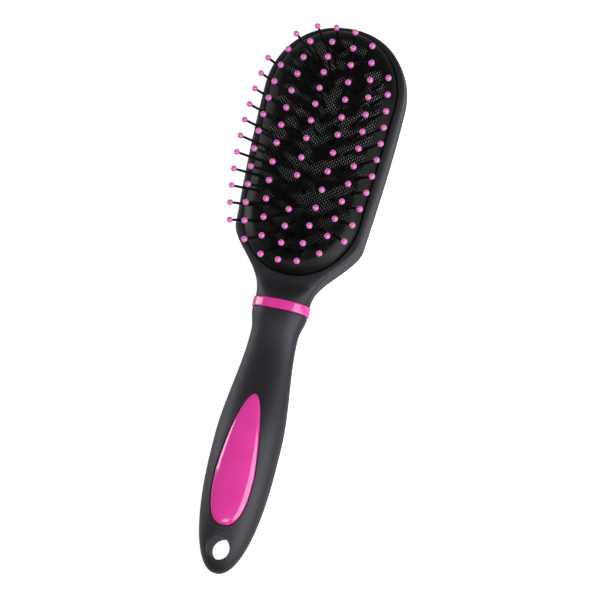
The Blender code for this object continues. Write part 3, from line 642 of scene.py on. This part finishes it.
# %% Directions of the pins
def pin_directions(roots):
    """Outward from the middle of the field, tilted by the most times a power of a quarter sine."""
    across = roots[:, 0] / LEAN_ACROSS
    along = roots[:, 1] - FIELD_MIDDLE_Y
    along = along / np.where(along > 0, LEAN_UPWARDS, LEAN_DOWNWARDS)
    far = np.hypot(across, along) + 1e-9
    tilt = LEAN_MOST * np.sin(math.pi / 2 * np.minimum(1, far)) ** LEAN_RISE
    return np.stack([across / far * np.sin(tilt), along / far * np.sin(tilt), np.cos(tilt)], 1)


def cushion_normals(roots, step=0.1 * MM):
    """Square to the cushion: minus the slopes across and along, and one up, made unit length."""
    x, y = roots[:, 0], roots[:, 1]
    slope_x = (cushion_top(x + step, y) - cushion_top(x - step, y)) / (2 * step)
    slope_y = (cushion_top(x, y + step) - cushion_top(x, y - step)) / (2 * step)
    return unit(np.stack([-slope_x, -slope_y, np.ones_like(x)], 1))


def pin_feet(roots, directions):
    """Back along each pin to the middle of the web, level with the cushion's underside."""
    depth = RUBBER + WEB_CLEARANCE + WEB_THICKNESS / 2
    return roots - directions * (depth / (directions * cushion_normals(roots)).sum(1))[:, None]


least_upright = pin_directions(all_roots)[:, 2].min()
print("steepest lean, degrees:", round(math.degrees(math.acos(least_upright)), 1))

# %% [markdown]
# A pin is a profile turned about its own axis: distance along the pin, and radius there. The shaft
# tapers a little and swells at the root, and the ball is a full sphere with a short neck.

# %% Profile of a pin
BALL_RADIUS, SHAFT_RADIUS = BALL_WIDTH / 2, PIN_WIDTH / 2
ROOT_ALONG, ROOT_SHARE, TAPER_SHARE = 2.7 * MM, 1.14, 0.22
SWELL_SHARE, SWELL_REACH = 0.35, 0.55 * MM
BALL_NECK = math.radians(-66)
shaft_along = np.array([0, 1.0, 2.4, 2.9, 3.4, 4.0, 4.8, 6.0, 9.0, 12.0, 15.0]) * MM
past_root = shaft_along - ROOT_ALONG
taper = TAPER_SHARE * np.clip(past_root / PIN_LENGTH, 0, 1)
swell = SWELL_SHARE * np.exp(-np.abs(past_root) / SWELL_REACH)
shaft_radius = SHAFT_RADIUS * (ROOT_SHARE - taper + swell)
ball_turn = np.linspace(BALL_NECK, math.pi / 2, 12)
ball_along, ball_radius = BALL_RADIUS * np.sin(ball_turn), BALL_RADIUS * np.cos(ball_turn)
print("rows a pin:", len(shaft_along) + len(ball_turn))


# %% Grid of a column of pins
def turned_pins(feet, roots, directions, sides=16):
    """Profile about each axis: foot plus axis times distance plus radius times turned side."""
    side = unit(np.cross(directions, (0.0, 1.0, 0.0)))
    other = np.cross(directions, side)
    buried = np.linalg.norm(roots - feet, axis=1)[:, None]
    shaft = buried + past_root
    shaft[:, 0] = 0
    along = np.concatenate([shaft[:, :1], shaft, buried + PIN_LENGTH + ball_along], 1)
    radius = np.concatenate([[0.0], shaft_radius, ball_radius])
    radius[-1] = 0
    angle = whole_turn(sides)[:, None]
    around = np.cos(angle) * side[:, None] + np.sin(angle) * other[:, None]
    axis = feet[:, None] + directions[:, None] * along[..., None]
    return axis[:, :, None] + radius[None, :, None, None] * around[:, None]


def web_grid(feet, ups):
    """A flat bar through the feet: corners half a width to each side and half a thickness up."""
    ahead = unit(np.gradient(feet, axis=0))
    beyond = feet[[0, -1]] + ahead[[0, -1]] * WEB_OVERHANG * [[-1], [1]]
    feet = np.concatenate([beyond[:1], feet, beyond[1:]])
    ahead, ups = (np.concatenate([a[:1], a, a[-1:]]) for a in (ahead, ups))
    ups = unit(ups - ahead * (ups * ahead).sum(1, keepdims=True))
    side, up = np.cross(ahead, ups) * WEB_HALF_WIDTH, ups * WEB_THICKNESS / 2
    corners = ((1, -1), (1, 1), (-1, 1), (-1, -1))
    return capped(np.stack([feet + a * side + b * up for a, b in corners], 1))


upright = np.array([[0.0, 0.0, 1.0]])
print("one pin's grid:", turned_pins(0 * upright, upright, upright).shape)


# %% Make the pin strips
BALL_REACH = 1.03 * BALL_RADIUS


def make_strip(number, roots):
    """One column of pins and its web as one mesh, with the balls marked for their own material."""
    directions = pin_directions(roots)
    feet = pin_feet(roots, directions)
    web = web_grid(feet, cushion_normals(roots))
    mesh = mesh_of(f"pins_{number}", *joined(*turned_pins(feet, roots, directions), web))
    balls = roots + directions * PIN_LENGTH
    centres = vectors_of(mesh.polygons, "center")
    to_ball = np.linalg.norm(centres[:, None] - balls[None], axis=2).min(1)
    mesh.polygons.foreach_set("material_index", (to_ball < BALL_REACH).astype(np.int32))
    return add_piece(mesh, f"strip_{number}", "pin_plastic", f"pin_strip_{number}")


strips = [make_strip(number, roots) for number, roots in enumerate(columns, start=1)]

# %% [markdown]
# ## Collar ring
# A glossy ring hides the joint between the neck and the handle. It is the neck's own section, a
# little larger, carried along the brush with rounded edges and a face that bulges by a hair.

# %% Make the collar ring
inward, along = COLLAR_EDGE * quarter_round(6)
belly = np.linspace(along[-1], COLLAR_LENGTH - along[-1], 7)[1:-1]
bulge = COLLAR_BULGE * (1 - np.sin(math.pi * belly / COLLAR_LENGTH))
y_rows = COLLAR_TOP_Y - np.concatenate([along, belly, COLLAR_LENGTH - along[::-1]])
proud = COLLAR_PROUD - np.concatenate([inward, bulge, inward[::-1]])
outer = ellipse_ring(y_rows, NECK_WIDTH / 2 + proud, NECK_THICKNESS / 2 + proud,
                     NECK_SQUARENESS, columns=160)
bore = tang_rings([COLLAR_LOW_Y, COLLAR_TOP_Y], SEAM, columns=160)
collar_mesh = grid_mesh("collar_ring_skin", np.concatenate([outer, bore]), looped=True)
collar = add_piece(collar_mesh, "brush", "trim_gloss", "collar_ring")

# %% [markdown]
# ## Handle
# The handle is a loft: one superellipse at each place along the brush, whose half width, middle
# height, rise and drop change with soft steps. They give the shoulder, waist, scoop and grip.

# %% Half width and heights of the handle
def end_round(y):
    """1 along the grip, then a superellipse down to 0 at the tip."""
    return squared(np.maximum(0, END_ROUND_Y - y) / END_ROUND, END_SQUARENESS)


def handle_half_width(y):
    """Soft step in to the waist, soft step out to the grip, and a superellipse round the end."""
    waist = SHOULDER_HALF_WIDTH - WAIST_DEPTH
    upper = blend(SHOULDER_HALF_WIDTH, waist, y, HANDLE_TOP_Y, WAIST_Y)
    grip = blend(waist, GRIP_WIDTH / 2, y, WAIST_Y, GRIP_Y)
    end = GRIP_WIDTH / 2 * end_round(y)
    return np.where(y >= WAIST_Y, upper, np.where(y >= END_ROUND_Y, grip, end))


def handle_middle(y):
    """Height of the axis: a soft step down to the grip, and another to the tip."""
    upper = blend(AXIS_HEIGHT, GRIP_HEIGHT, y, HANDLE_TOP_Y, GRIP_Y)
    lower = blend(GRIP_HEIGHT, END_HEIGHT, y, GRIP_Y, HANDLE_END_Y)
    return np.where(y >= GRIP_Y, upper, lower)


def handle_rise(y):
    """Front above the axis: down into the thumb scoop, up to the grip, and round at the end."""
    scoop = SHOULDER_HALF_THICKNESS - SCOOP_DEPTH
    upper = blend(SHOULDER_HALF_THICKNESS, scoop, y, HANDLE_TOP_Y, SCOOP_Y)
    grip = blend(scoop, GRIP_RISE, y, SCOOP_Y, GRIP_Y)
    return np.where(y >= SCOOP_Y, upper, grip * end_round(y))


def handle_drop(y):
    """Back below the axis: a soft step to the grip, and round at the end."""
    return blend(SHOULDER_HALF_THICKNESS, GRIP_DROP, y, HANDLE_TOP_Y, GRIP_Y) * end_round(y)


def handle_front(x, y):
    """Axis plus rise times the superellipse of the distance across over half width."""
    return handle_middle(y) + handle_rise(y) * squared(x / handle_half_width(y), GRIP_SQUARENESS)


print("front of the grip, mm:", round(float(handle_front(0.0, GRIP_Y)) / MM, 2))

# %% Loft the handle
SHOULDER_ROUND = 0.35 * MM
inward, onward = SHOULDER_ROUND * quarter_round(5)
shoulder = HANDLE_TOP_Y - onward
body = np.linspace(shoulder[-1], END_ROUND_Y, 120)[1:]
tip = END_ROUND_Y - END_ROUND * np.sin(quarter_turn(90)[1:])
rest = np.zeros(len(body) + len(tip))
ys = np.concatenate([[HANDLE_TOP_Y + STEP_LENGTH, HANDLE_TOP_Y], shoulder, body, tip])[:, None]
shrink = np.concatenate([[STEP_INSET] * 2, inward, rest])[:, None]
angle = whole_turn(144)
reach = np.where(np.sin(angle) >= 0, handle_rise(ys), handle_drop(ys)) - shrink
across = (handle_half_width(ys) - shrink) * signed_power(np.cos(angle), 2 / GRIP_SQUARENESS)
height = handle_middle(ys) + reach * signed_power(np.sin(angle), 2 / GRIP_SQUARENESS)
loft = np.stack(np.broadcast_arrays(across, ys, np.maximum(height, 0)), -1)
handle_mesh = grid_mesh("handle_skin", capped(loft))
print("handle loft:", loft.shape)

# %% [markdown]
# The bed of the inlay, its peg holes, the socket and the hang hole are cut out with closed cutter
# surfaces. A cutter flares where it leaves the handle, which rounds the edge of the opening.

# %% Outline of the inlay
def teardrop(turn, grow):
    """Powers of cosine and sine, one pair for the narrow upper end and one for the round lower."""
    upper = np.sin(turn) >= 0
    across = 2 / np.where(upper, 2, INLAY_LOWER_SQUARENESS)
    along = 2 / np.where(upper, INLAY_UPPER_TAPER, INLAY_LOWER_SQUARENESS)
    x = (INLAY_HALF_WIDTH + grow) * signed_power(np.cos(turn), across)
    reach = np.where(upper, INLAY_UPPER + grow, INLAY_LOWER + grow)
    return x, INLAY_Y + reach * signed_power(np.sin(turn), along)


def inlay_outline(grow, count=160):
    """Points at angles that space the ungrown teardrop evenly, so that grown rings line up."""
    fine = np.linspace(0, 2 * math.pi, 8001)
    turn = even_steps(fine, *teardrop(fine, 0.0), count + 1)[:-1]
    return np.stack(teardrop(turn, grow), 1)


def on_front(flat, above):
    """A ring in plan lifted onto the handle's front, and by that much above it."""
    return level(flat, handle_front(*flat.T) + above)


def plate_rows(grow, above, scales, count=160):
    """The teardrop drawn towards its middle by each scale, and lifted onto the front."""
    ring, middle = inlay_outline(grow, count), np.array([0.0, INLAY_Y])
    return [on_front(middle + (ring - middle) * scale, above) for scale in scales]


plate_scales = np.linspace(1, 0, 14)
sides = np.diff(inlay_outline(0), axis=0, append=inlay_outline(0)[:1])
print("inlay outline length, mm:", round(np.hypot(*sides.T).sum() / MM, 1))

# %% Cutters
BED_ROUND, BED_ROOF = 0.3 * MM, 1.5 * MM


def circle(y, radius, sides):
    """A ring in plan about a place on the middle line: radius times cosine and sine."""
    angle = whole_turn(sides)
    return np.stack([radius * np.cos(angle), y + radius * np.sin(angle)], 1)


def post(y, radius, low, high):
    """A closed upright cylinder: pole, low ring, high ring, pole."""
    return capped(np.array([level(circle(y, radius, 48), z) for z in (low, high)]))


def peg_top(y):
    """Height of the inlay's underside over the middle line: the front less the thickness."""
    return float(handle_front(0.0, y)) - INLAY_THICKNESS


bed = plate_rows(SEAM + BED_ROUND, BED_ROOF, plate_scales[::-1])
bed += [on_front(inlay_outline(SEAM + out), -down) for out, down in BED_ROUND * quarter_round(5).T]
bed = np.array(bed + plate_rows(SEAM, -INLAY_THICKNESS - SEAM, plate_scales))
peg_holes = [post(y, PEG_RADIUS + SEAM, peg_top(y) - PEG_LENGTH - SEAM, peg_top(y) + MM)
             for y in PEG_YS]
socket = capped(tang_rings([HANDLE_TOP_Y + MM, TANG_END_Y - SEAM], SEAM))
print("bed cutter rings:", len(bed))

# %% Cutter of the hang hole
HOLE_ROUND, HOLE_CUTTER_TOP, HOLE_CUTTER_LOW = 0.6 * MM, 25 * MM, -5 * MM


def hole_cutter():
    """Rings down through the handle, flared by a quarter round where they meet front and back."""
    flare = [(circle(HANG_HOLE_Y, HANG_HOLE_RADIUS + out, 96), inward)
             for out, inward in HOLE_ROUND * quarter_round(7).T]
    widest = flare[0][0]
    x, y = widest.T
    across = squared(x / handle_half_width(y), GRIP_SQUARENESS)
    front_z = handle_front(x, y)
    back_z = np.maximum(0, handle_middle(y) - handle_drop(y) * across)
    rings = [level(widest, HOLE_CUTTER_TOP)]
    rings += [level(flat, front_z - down) for flat, down in flare]
    rings += [level(flat, back_z + up) for flat, up in flare[::-1]]
    return capped(np.array(rings + [level(widest, HOLE_CUTTER_LOW)]))


hole = hole_cutter()
print("hang hole cutter:", hole.shape)

# %% Cut the handle
HOLE_WEAR, SHOULDER_WEAR = 1.1 * MM, 0.6 * MM


def cut_away(mesh, *grids):
    """Subtracts closed grids from a mesh with exact Booleans and gives back the new mesh."""
    holder = new_object("holder", mesh)
    cutters = [new_object("cutter", grid_mesh("cutter", grid)) for grid in grids]
    for cutter in cutters:
        step = holder.modifiers.new("cut", "BOOLEAN")
        step.operation, step.solver, step.object = "DIFFERENCE", "EXACT", cutter
    cut = holder.evaluated_get(bpy.context.evaluated_depsgraph_get())
    made = bpy.data.meshes.new_from_object(cut)
    for leftover in (holder, *cutters):
        bpy.data.objects.remove(leftover)
    return made


handle_mesh = cut_away(handle_mesh, hole, bed, *peg_holes, socket)
handle_mesh.name = "handle_cut"
x, y, _ = vectors_of(handle_mesh.vertices).T
from_hole = np.hypot(x, y - HANG_HOLE_Y) - HANG_HOLE_RADIUS
worn = bell(from_hole, HOLE_WEAR) + bell(HANDLE_TOP_Y - y, SHOULDER_WEAR)
mark(handle_mesh, "wear", worn)
handle = add_piece(handle_mesh, "brush", "soft_touch", "handle", sharp=32)

# %% [markdown]
# ## Inlay
# The inlay is a glossy teardrop plate in the front of the handle. Its face follows the handle's, a
# little proud, and a round bevel runs along its edge. Two pegs under it hold it in the handle.

# %% Make the inlay
POLISHED_POINTS, PEG_OVERLAP = 240, 0.5 * MM
bevel = [on_front(inlay_outline(-BEVEL_WIDTH * inward, POLISHED_POINTS),
                  INLAY_PROUD - BEVEL_DROP * drop) for drop, inward in quarter_round(10).T]
face = plate_rows(-BEVEL_WIDTH, INLAY_PROUD, np.linspace(1, 0, 26)[1:], POLISHED_POINTS)
sole = plate_rows(0, -INLAY_THICKNESS, plate_scales[::-1], POLISHED_POINTS)
pegs = [post(y, PEG_RADIUS, peg_top(y) - PEG_LENGTH, peg_top(y) + PEG_OVERLAP) for y in PEG_YS]
inlay_mesh = mesh_of("inlay_skin", *joined(np.array(sole + bevel + face), *pegs))
inlay = add_piece(inlay_mesh, "brush", "trim_gloss", "handle_inlay")

# %% [markdown]
# ## Materials
# A material is a small chain of nodes. Here a helper adds a node and links its inputs, so that each
# finish reads as a list of what feeds what. Patterns use Object coordinates, in metres, so a scale
# of 1000 gives features of about a millimetre.

# %% Node helpers
def start_material(name):
    """A new material, its node tree and its Principled shader."""
    made = bpy.data.materials.new(name)
    made.use_nodes = True
    return made, made.node_tree, made.node_tree.nodes["Principled BSDF"]


def feed(tree, node, inputs):
    """Sets a node's inputs to values, or links them to other nodes' outputs."""
    for socket, value in inputs.items():
        if isinstance(value, bpy.types.NodeSocket):
            tree.links.new(value, node.inputs[socket])
        else:
            node.inputs[socket].default_value = value


def add_node(tree, kind, inputs=None, **settings):
    """A node with its settings and its inputs."""
    node = tree.nodes.new(kind)
    for key, value in settings.items():
        setattr(node, key, value)
    feed(tree, node, inputs or {})
    return node


def grey(value, blue=None):
    """A grey, or one with a little more blue in it."""
    return value, value, value if blue is None else blue, 1


print("a cool grey:", grey(0.014, 0.0155))


# %% Nodes for patterns
def noise(tree, scale, detail=2.0, roughness=0.5):
    """Noise of that scale in Object coordinates."""
    place = add_node(tree, "ShaderNodeTexCoord").outputs["Object"]
    inputs = {"Vector": place, "Scale": scale, "Detail": detail, "Roughness": roughness}
    return add_node(tree, "ShaderNodeTexNoise", inputs).outputs["Fac"]


def remap(tree, value, low, high, new_low=0, new_high=1):
    """The value moved from one range to another, and kept in it."""
    inputs = {"Value": value, "From Min": low, "From Max": high,
              "To Min": new_low, "To Max": new_high}
    return add_node(tree, "ShaderNodeMapRange", inputs).outputs["Result"]


def spread(tree, cloud, new_low=0, new_high=1):
    """Noise stretched from the range where most of it lies."""
    return remap(tree, cloud, 0.3, 0.7, new_low, new_high)


def reckon(tree, operation, one, other=0.0):
    """One Math node."""
    return add_node(tree, "ShaderNodeMath", {0: one, 1: other}, operation=operation).outputs[0]


def times(tree, one, other):
    """One number times another."""
    return reckon(tree, "MULTIPLY", one, other)


def mixed(tree, share, one, other):
    """A colour between two, at that share."""
    inputs = {"Factor": share, 6: one, 7: other}
    return add_node(tree, "ShaderNodeMix", inputs, data_type="RGBA").outputs[2]


def attribute(tree, name):
    """A number that was marked on the mesh."""
    return add_node(tree, "ShaderNodeAttribute", attribute_name=name).outputs["Fac"]


def bumped(tree, height, strength, distance, under=None):
    """A normal bent by a height, over another bump if there is one."""
    inputs = {"Height": height, "Strength": strength, "Distance": distance}
    if under is not None:
        inputs["Normal"] = under
    return add_node(tree, "ShaderNodeBump", inputs).outputs["Normal"]


def dress(finish, *pieces):
    """Puts a finish on pieces, after any that they have."""
    for piece in pieces:
        piece.data.materials.append(finish)
    print(finish.name, "has", len(finish.node_tree.nodes), "nodes, pieces:", len(pieces))


print("node helpers ready")

# %% [markdown]
# ### Soft-touch plastic
# Soft-touch paint feels like peach skin. It is matt, it has a fine grain, and where hands rub it,
# along edges, it turns a little smoother and lighter.

# %% Soft-touch plastic
def soft_touch_plastic():
    """Charcoal clouds with a pale grain, smoother and lighter by the wear, over two bumps."""
    made, tree, shader = start_material("soft_touch_coat")
    clouds, grain = noise(tree, 90, 3.0), noise(tree, 4200, 2.0, 0.6)
    rubbed = attribute(tree, "wear")
    base = mixed(tree, spread(tree, clouds), grey(0.0036, 0.0042), grey(0.0062, 0.0070))
    base = mixed(tree, spread(tree, grain, 0, 0.35), base, grey(0.014, 0.0155))
    base = mixed(tree, remap(tree, rubbed, 0, 1, 0, 0.35), base, grey(0.030, 0.033))
    smoother = remap(tree, rubbed, 0, 1, 0, 0.1)
    broad = bumped(tree, noise(tree, 320, 2.0), 0.12, 0.12 * MM)
    feed(tree, shader, {
        "Base Color": base,
        "Roughness": reckon(tree, "SUBTRACT", spread(tree, grain, 0.46, 0.56), smoother),
        "Specular IOR Level": 0.52, "Specular Tint": (0.86, 0.85, 1.0, 1),
        "Sheen Weight": 0.04, "Sheen Roughness": 0.5,
        "Normal": bumped(tree, grain, 0.35, 0.05 * MM, broad)})
    return made


dress(soft_touch_plastic(), head_shell, handle)

# %% [markdown]
# ### Cushion rubber
# The pad's border is plain satin rubber. Inside it the mould was etched with lengthwise rows of
# fine dashes. Their glints are painted into the colour as pale dots, in random patches and most of
# all in slanting bands of painted light between the pins' shadows, and the painted light fades
# towards the handle. The field attribute says where the etching is.

# %% Cushion rubber
ROW_PITCH, DASH_PITCH = 0.9 * MM, 1.5 * MM
BAND_PITCH, BAND_SLANT, BAND_REACH = 6.6 * MM, 0.45, 9 * MM
FADED_Y, FULL_Y = 20 * MM, 85 * MM


def waves(tree, count):
    """Cosine of a whole turn times the count: one crest at each whole number."""
    return reckon(tree, "COSINE", times(tree, count, 2 * math.pi))


def dashes(tree, x, y):
    """A crest across each row times a crest along it, with every other row half a dash on."""
    row = times(tree, x, 1 / ROW_PITCH)
    stagger = times(tree, reckon(tree, "ROUND", row), 0.5)
    dash = reckon(tree, "ADD", times(tree, y, 1 / DASH_PITCH), stagger)
    crests = remap(tree, waves(tree, row), 0.1, 0.8), remap(tree, waves(tree, dash), -0.4, 0.4)
    return times(tree, times(tree, *crests), attribute(tree, "field"))


def painted_glints(tree, clouds, x, y):
    """Painted glint light: clouds plus a wave of y less slant times distance from the middle line, in
    bands of painted light between the pins' shadows, fading towards the handle.
    """
    aside = reckon(tree, "ABSOLUTE", x)
    climb = reckon(tree, "SUBTRACT", y, times(tree, aside, BAND_SLANT))
    band = reckon(tree, "COSINE", times(tree, climb, 2 * math.pi / BAND_PITCH))
    light_bands = times(tree, band, remap(tree, aside, 0, BAND_REACH, 0.01, 0.085))
    pale = remap(tree, reckon(tree, "ADD", clouds, light_bands), 0.46, 0.60, 0.06, 1)
    # Painted light: the glints fade towards the handle.
    return times(tree, pale, remap(tree, y, FADED_Y, FULL_Y, 0.1, 1))


def cushion_rubber():
    """Black clouds, dashes painted pale as glints where the painted glint light falls, painted shade
    in the vent's well, and the dashes as relief.
    """
    made, tree, shader = start_material("etched_rubber")
    place = add_node(tree, "ShaderNodeTexCoord").outputs["Object"]
    split = add_node(tree, "ShaderNodeSeparateXYZ", {0: place}).outputs
    field, speck, clouds = attribute(tree, "field"), noise(tree, 2600, 2.0, 0.6), noise(tree, 110)
    dots = dashes(tree, split["X"], split["Y"])
    glint_light = painted_glints(tree, clouds, split["X"], split["Y"])
    base = mixed(tree, spread(tree, clouds), grey(0.0012, 0.0013), grey(0.0024, 0.0026))
    # Painted glints: the dashes turn pale grey where the painted glint light falls.
    base = mixed(tree, times(tree, dots, glint_light), base, grey(0.27, 0.275))
    satin = spread(tree, speck, 0.36, 0.46)
    feed(tree, shader, {
        # Painted shade: the vent's well is mixed to near black.
        "Base Color": mixed(tree, attribute(tree, "well"), base, grey(0.001)),
        "Roughness": reckon(tree, "ADD", satin, times(tree, field, 0.12)),
        "Specular IOR Level": remap(tree, field, 0, 1, 0.2, 0.05),
        "Normal": bumped(tree, dots, 0.7, 0.16 * MM, bumped(tree, speck, 0.2, 0.05 * MM))})
    return made


dress(cushion_rubber(), cushion)

# %% [markdown]
# ### Pins and balls
# The shafts are black nylon with a satin skin and faint specks. The balls are dipped, so they are
# glossy and slightly uneven, and they take the light as small bright spots. A strip's first
# material is the nylon and its second the gloss, which the faces of the balls ask for.

# %% Pin plastic and ball gloss
def pin_nylon():
    """Two blacks clouded together, with the same specks in the roughness and the bump."""
    made, tree, shader = start_material("pin_nylon")
    speck = noise(tree, 1800)
    feed(tree, shader, {
        "Base Color": mixed(tree, spread(tree, speck), grey(0.0012, 0.0014), grey(0.0030, 0.0032)),
        "Roughness": spread(tree, speck, 0.28, 0.4), "Specular IOR Level": 0.2,
        "Normal": bumped(tree, speck, 0.2, 0.04 * MM)})
    return made


def glossy_pink(name, deep, light, rough, wave_scale, wave_strength, coat, pearl=0.0):
    """Pink gloss: two near pinks clouded together, thin roughness changes and a slow wave."""
    made, tree, shader = start_material(name)
    clouds, film = noise(tree, wave_scale), noise(tree, 2200, 3.0, 0.6)
    slow = bumped(tree, clouds, wave_strength, 0.1 * MM)
    feed(tree, shader, {
        "Base Color": mixed(tree, spread(tree, clouds), deep, light),
        "Roughness": spread(tree, film, *rough),
        "Normal": bumped(tree, film, 0.02, 0.01 * MM, slow),
        "Coat Weight": coat, "Coat Roughness": 0.05,
        "Sheen Weight": pearl, "Sheen Tint": (1.0, 0.72, 0.95, 1)})
    return made


dress(pin_nylon(), *strips)
dress(glossy_pink("ball_gloss", (0.66, 0.085, 0.42, 1), (0.74, 0.12, 0.48, 1), (0.08, 0.14),
                  wave_scale=900, wave_strength=0.05, coat=1.0, pearl=0.6), *strips)

# %% [markdown]
# ### Pink gloss
# The collar ring and the inlay are moulded in a clear pink and polished. Their surface is so smooth
# that it shows the lamps as long white streaks along the bevels.

# %% Trim gloss
dress(glossy_pink("trim_gloss_pink", (0.69, 0.044, 0.31, 1), (0.73, 0.052, 0.34, 1), (0.1, 0.16),
                  wave_scale=60, wave_strength=0.02, coat=0.4), collar, inlay)

# %% [markdown]
# ## Table, light and camera
# The brush lies on a plain white table. To the camera the table adds a glow of its own, so that it
# reads as white paper while the brush's shadow still falls on it.

# %% Table
TABLE_HALF, GLOW = 1.5, 0.8


def white_table():
    """Near-white specks, and a glow where the camera sees the table, also through glass."""
    made, tree, shader = start_material("white_table")
    path = add_node(tree, "ShaderNodeLightPath").outputs
    seen = reckon(tree, "MAXIMUM", path["Is Camera Ray"], path["Is Transmission Ray"])
    feed(tree, shader, {
        "Base Color": mixed(tree, noise(tree, 300), grey(0.80), grey(0.82)),
        "Roughness": 0.9, "Specular IOR Level": 0.1,
        "Emission Color": grey(1), "Emission Strength": times(tree, seen, GLOW)})
    return made


corners = [(TABLE_HALF * x, TABLE_HALF * y, 0) for x, y in ((-1, -1), (1, -1), (1, 1), (-1, 1))]
table_mesh = bpy.data.meshes.new("table")
table_mesh.from_pydata(corners, [], [(0, 1, 2, 3)])
table = new_object("table", table_mesh)
dress(white_table(), table)

# %% [markdown]
# Three soft boxes light the brush: a wide one from the right and above, one low on the left that
# draws streaks along the gloss, and a faint one above the handle. The sky is bright at the horizon
# and dim overhead and beyond the handle, which keeps the black surfaces dark and lifts their edges.

# %% Lamps and sky
def soft_box(name, place, size, power):
    """A rectangular lamp at a place, turned to face the middle of the table."""
    lamp = bpy.data.lights.new(name, "AREA")
    lamp.shape, lamp.size, lamp.size_y, lamp.energy = "RECTANGLE", *size, power
    turn = Vector(place).to_track_quat("Z", "Y").to_matrix().to_4x4()
    new_object(name, lamp).matrix_world = Matrix.Translation(Vector(place)) @ turn


soft_box("key", (0.54, -0.17, 0.46), (0.68, 0.85), 8.0)
soft_box("left_strip", (-0.60, 0.05, 0.21), (0.20, 0.42), 1.6)
soft_box("low_fill", (-0.16, -0.50, 1.0), (0.3, 0.3), 1.8)
world = bpy.data.worlds.new("studio")
bpy.context.scene.world = world
world.use_nodes = True
sky = world.node_tree
look = add_node(sky, "ShaderNodeTexCoord").outputs["Generated"]
way = add_node(sky, "ShaderNodeSeparateXYZ", {0: look}).outputs
level_sky = mixed(sky, remap(sky, way["Y"], -0.8, -0.1), grey(0.2), grey(0.85))
shade = mixed(sky, remap(sky, way["Z"], 0.1, 0.6), level_sky, grey(0.05))
feed(sky, sky.nodes["Background"], {"Color": shade, "Strength": 0.5})
print("lamps:", len(bpy.data.lights))

# %% [markdown]
# The camera looks down on the brush from a metre away, a little from its right and from the side of
# the handle, and it is rolled so that the brush leans to the right.

# %% Camera
SIDEWAYS, FORWARD, ROLL = math.radians(16), math.radians(11), math.radians(14.345)
IMAGE_SIZE, SENSOR, DISTANCE = 600, 36, 1.0
FOCAL, CENTRE_X, CENTRE_Y = 2375, 282.95, 295.8
LOOK_AT = Vector((0, -0.5 * MM, 12 * MM))
sin_s, cos_s, sin_f, cos_f = (f(a) for a in (SIDEWAYS, FORWARD) for f in (math.sin, math.cos))
flat_right = Vector((cos_s, 0, -sin_s))
flat_up = Vector((sin_s * sin_f, cos_f, cos_s * sin_f))
toward = Vector((sin_s * cos_f, -sin_f, cos_s * cos_f))
right = flat_right * math.cos(ROLL) + flat_up * math.sin(ROLL)
upward = flat_up * math.cos(ROLL) - flat_right * math.sin(ROLL)
lens = bpy.data.cameras.new("camera")
lens.sensor_width, lens.lens = SENSOR, FOCAL / IMAGE_SIZE * SENSOR
lens.shift_x = (IMAGE_SIZE / 2 - CENTRE_X) / IMAGE_SIZE
lens.shift_y = (CENTRE_Y - IMAGE_SIZE / 2) / IMAGE_SIZE
lens.clip_start, lens.clip_end = 0.05, 20
camera = new_object("camera", lens)
stance = Matrix((right, upward, toward)).transposed().to_4x4()
stance.translation = LOOK_AT + toward * DISTANCE
camera.matrix_world = stance
bpy.context.scene.camera = camera
bpy.context.scene.view_settings.view_transform = "Standard"
print("lens, mm:", round(lens.lens, 1))
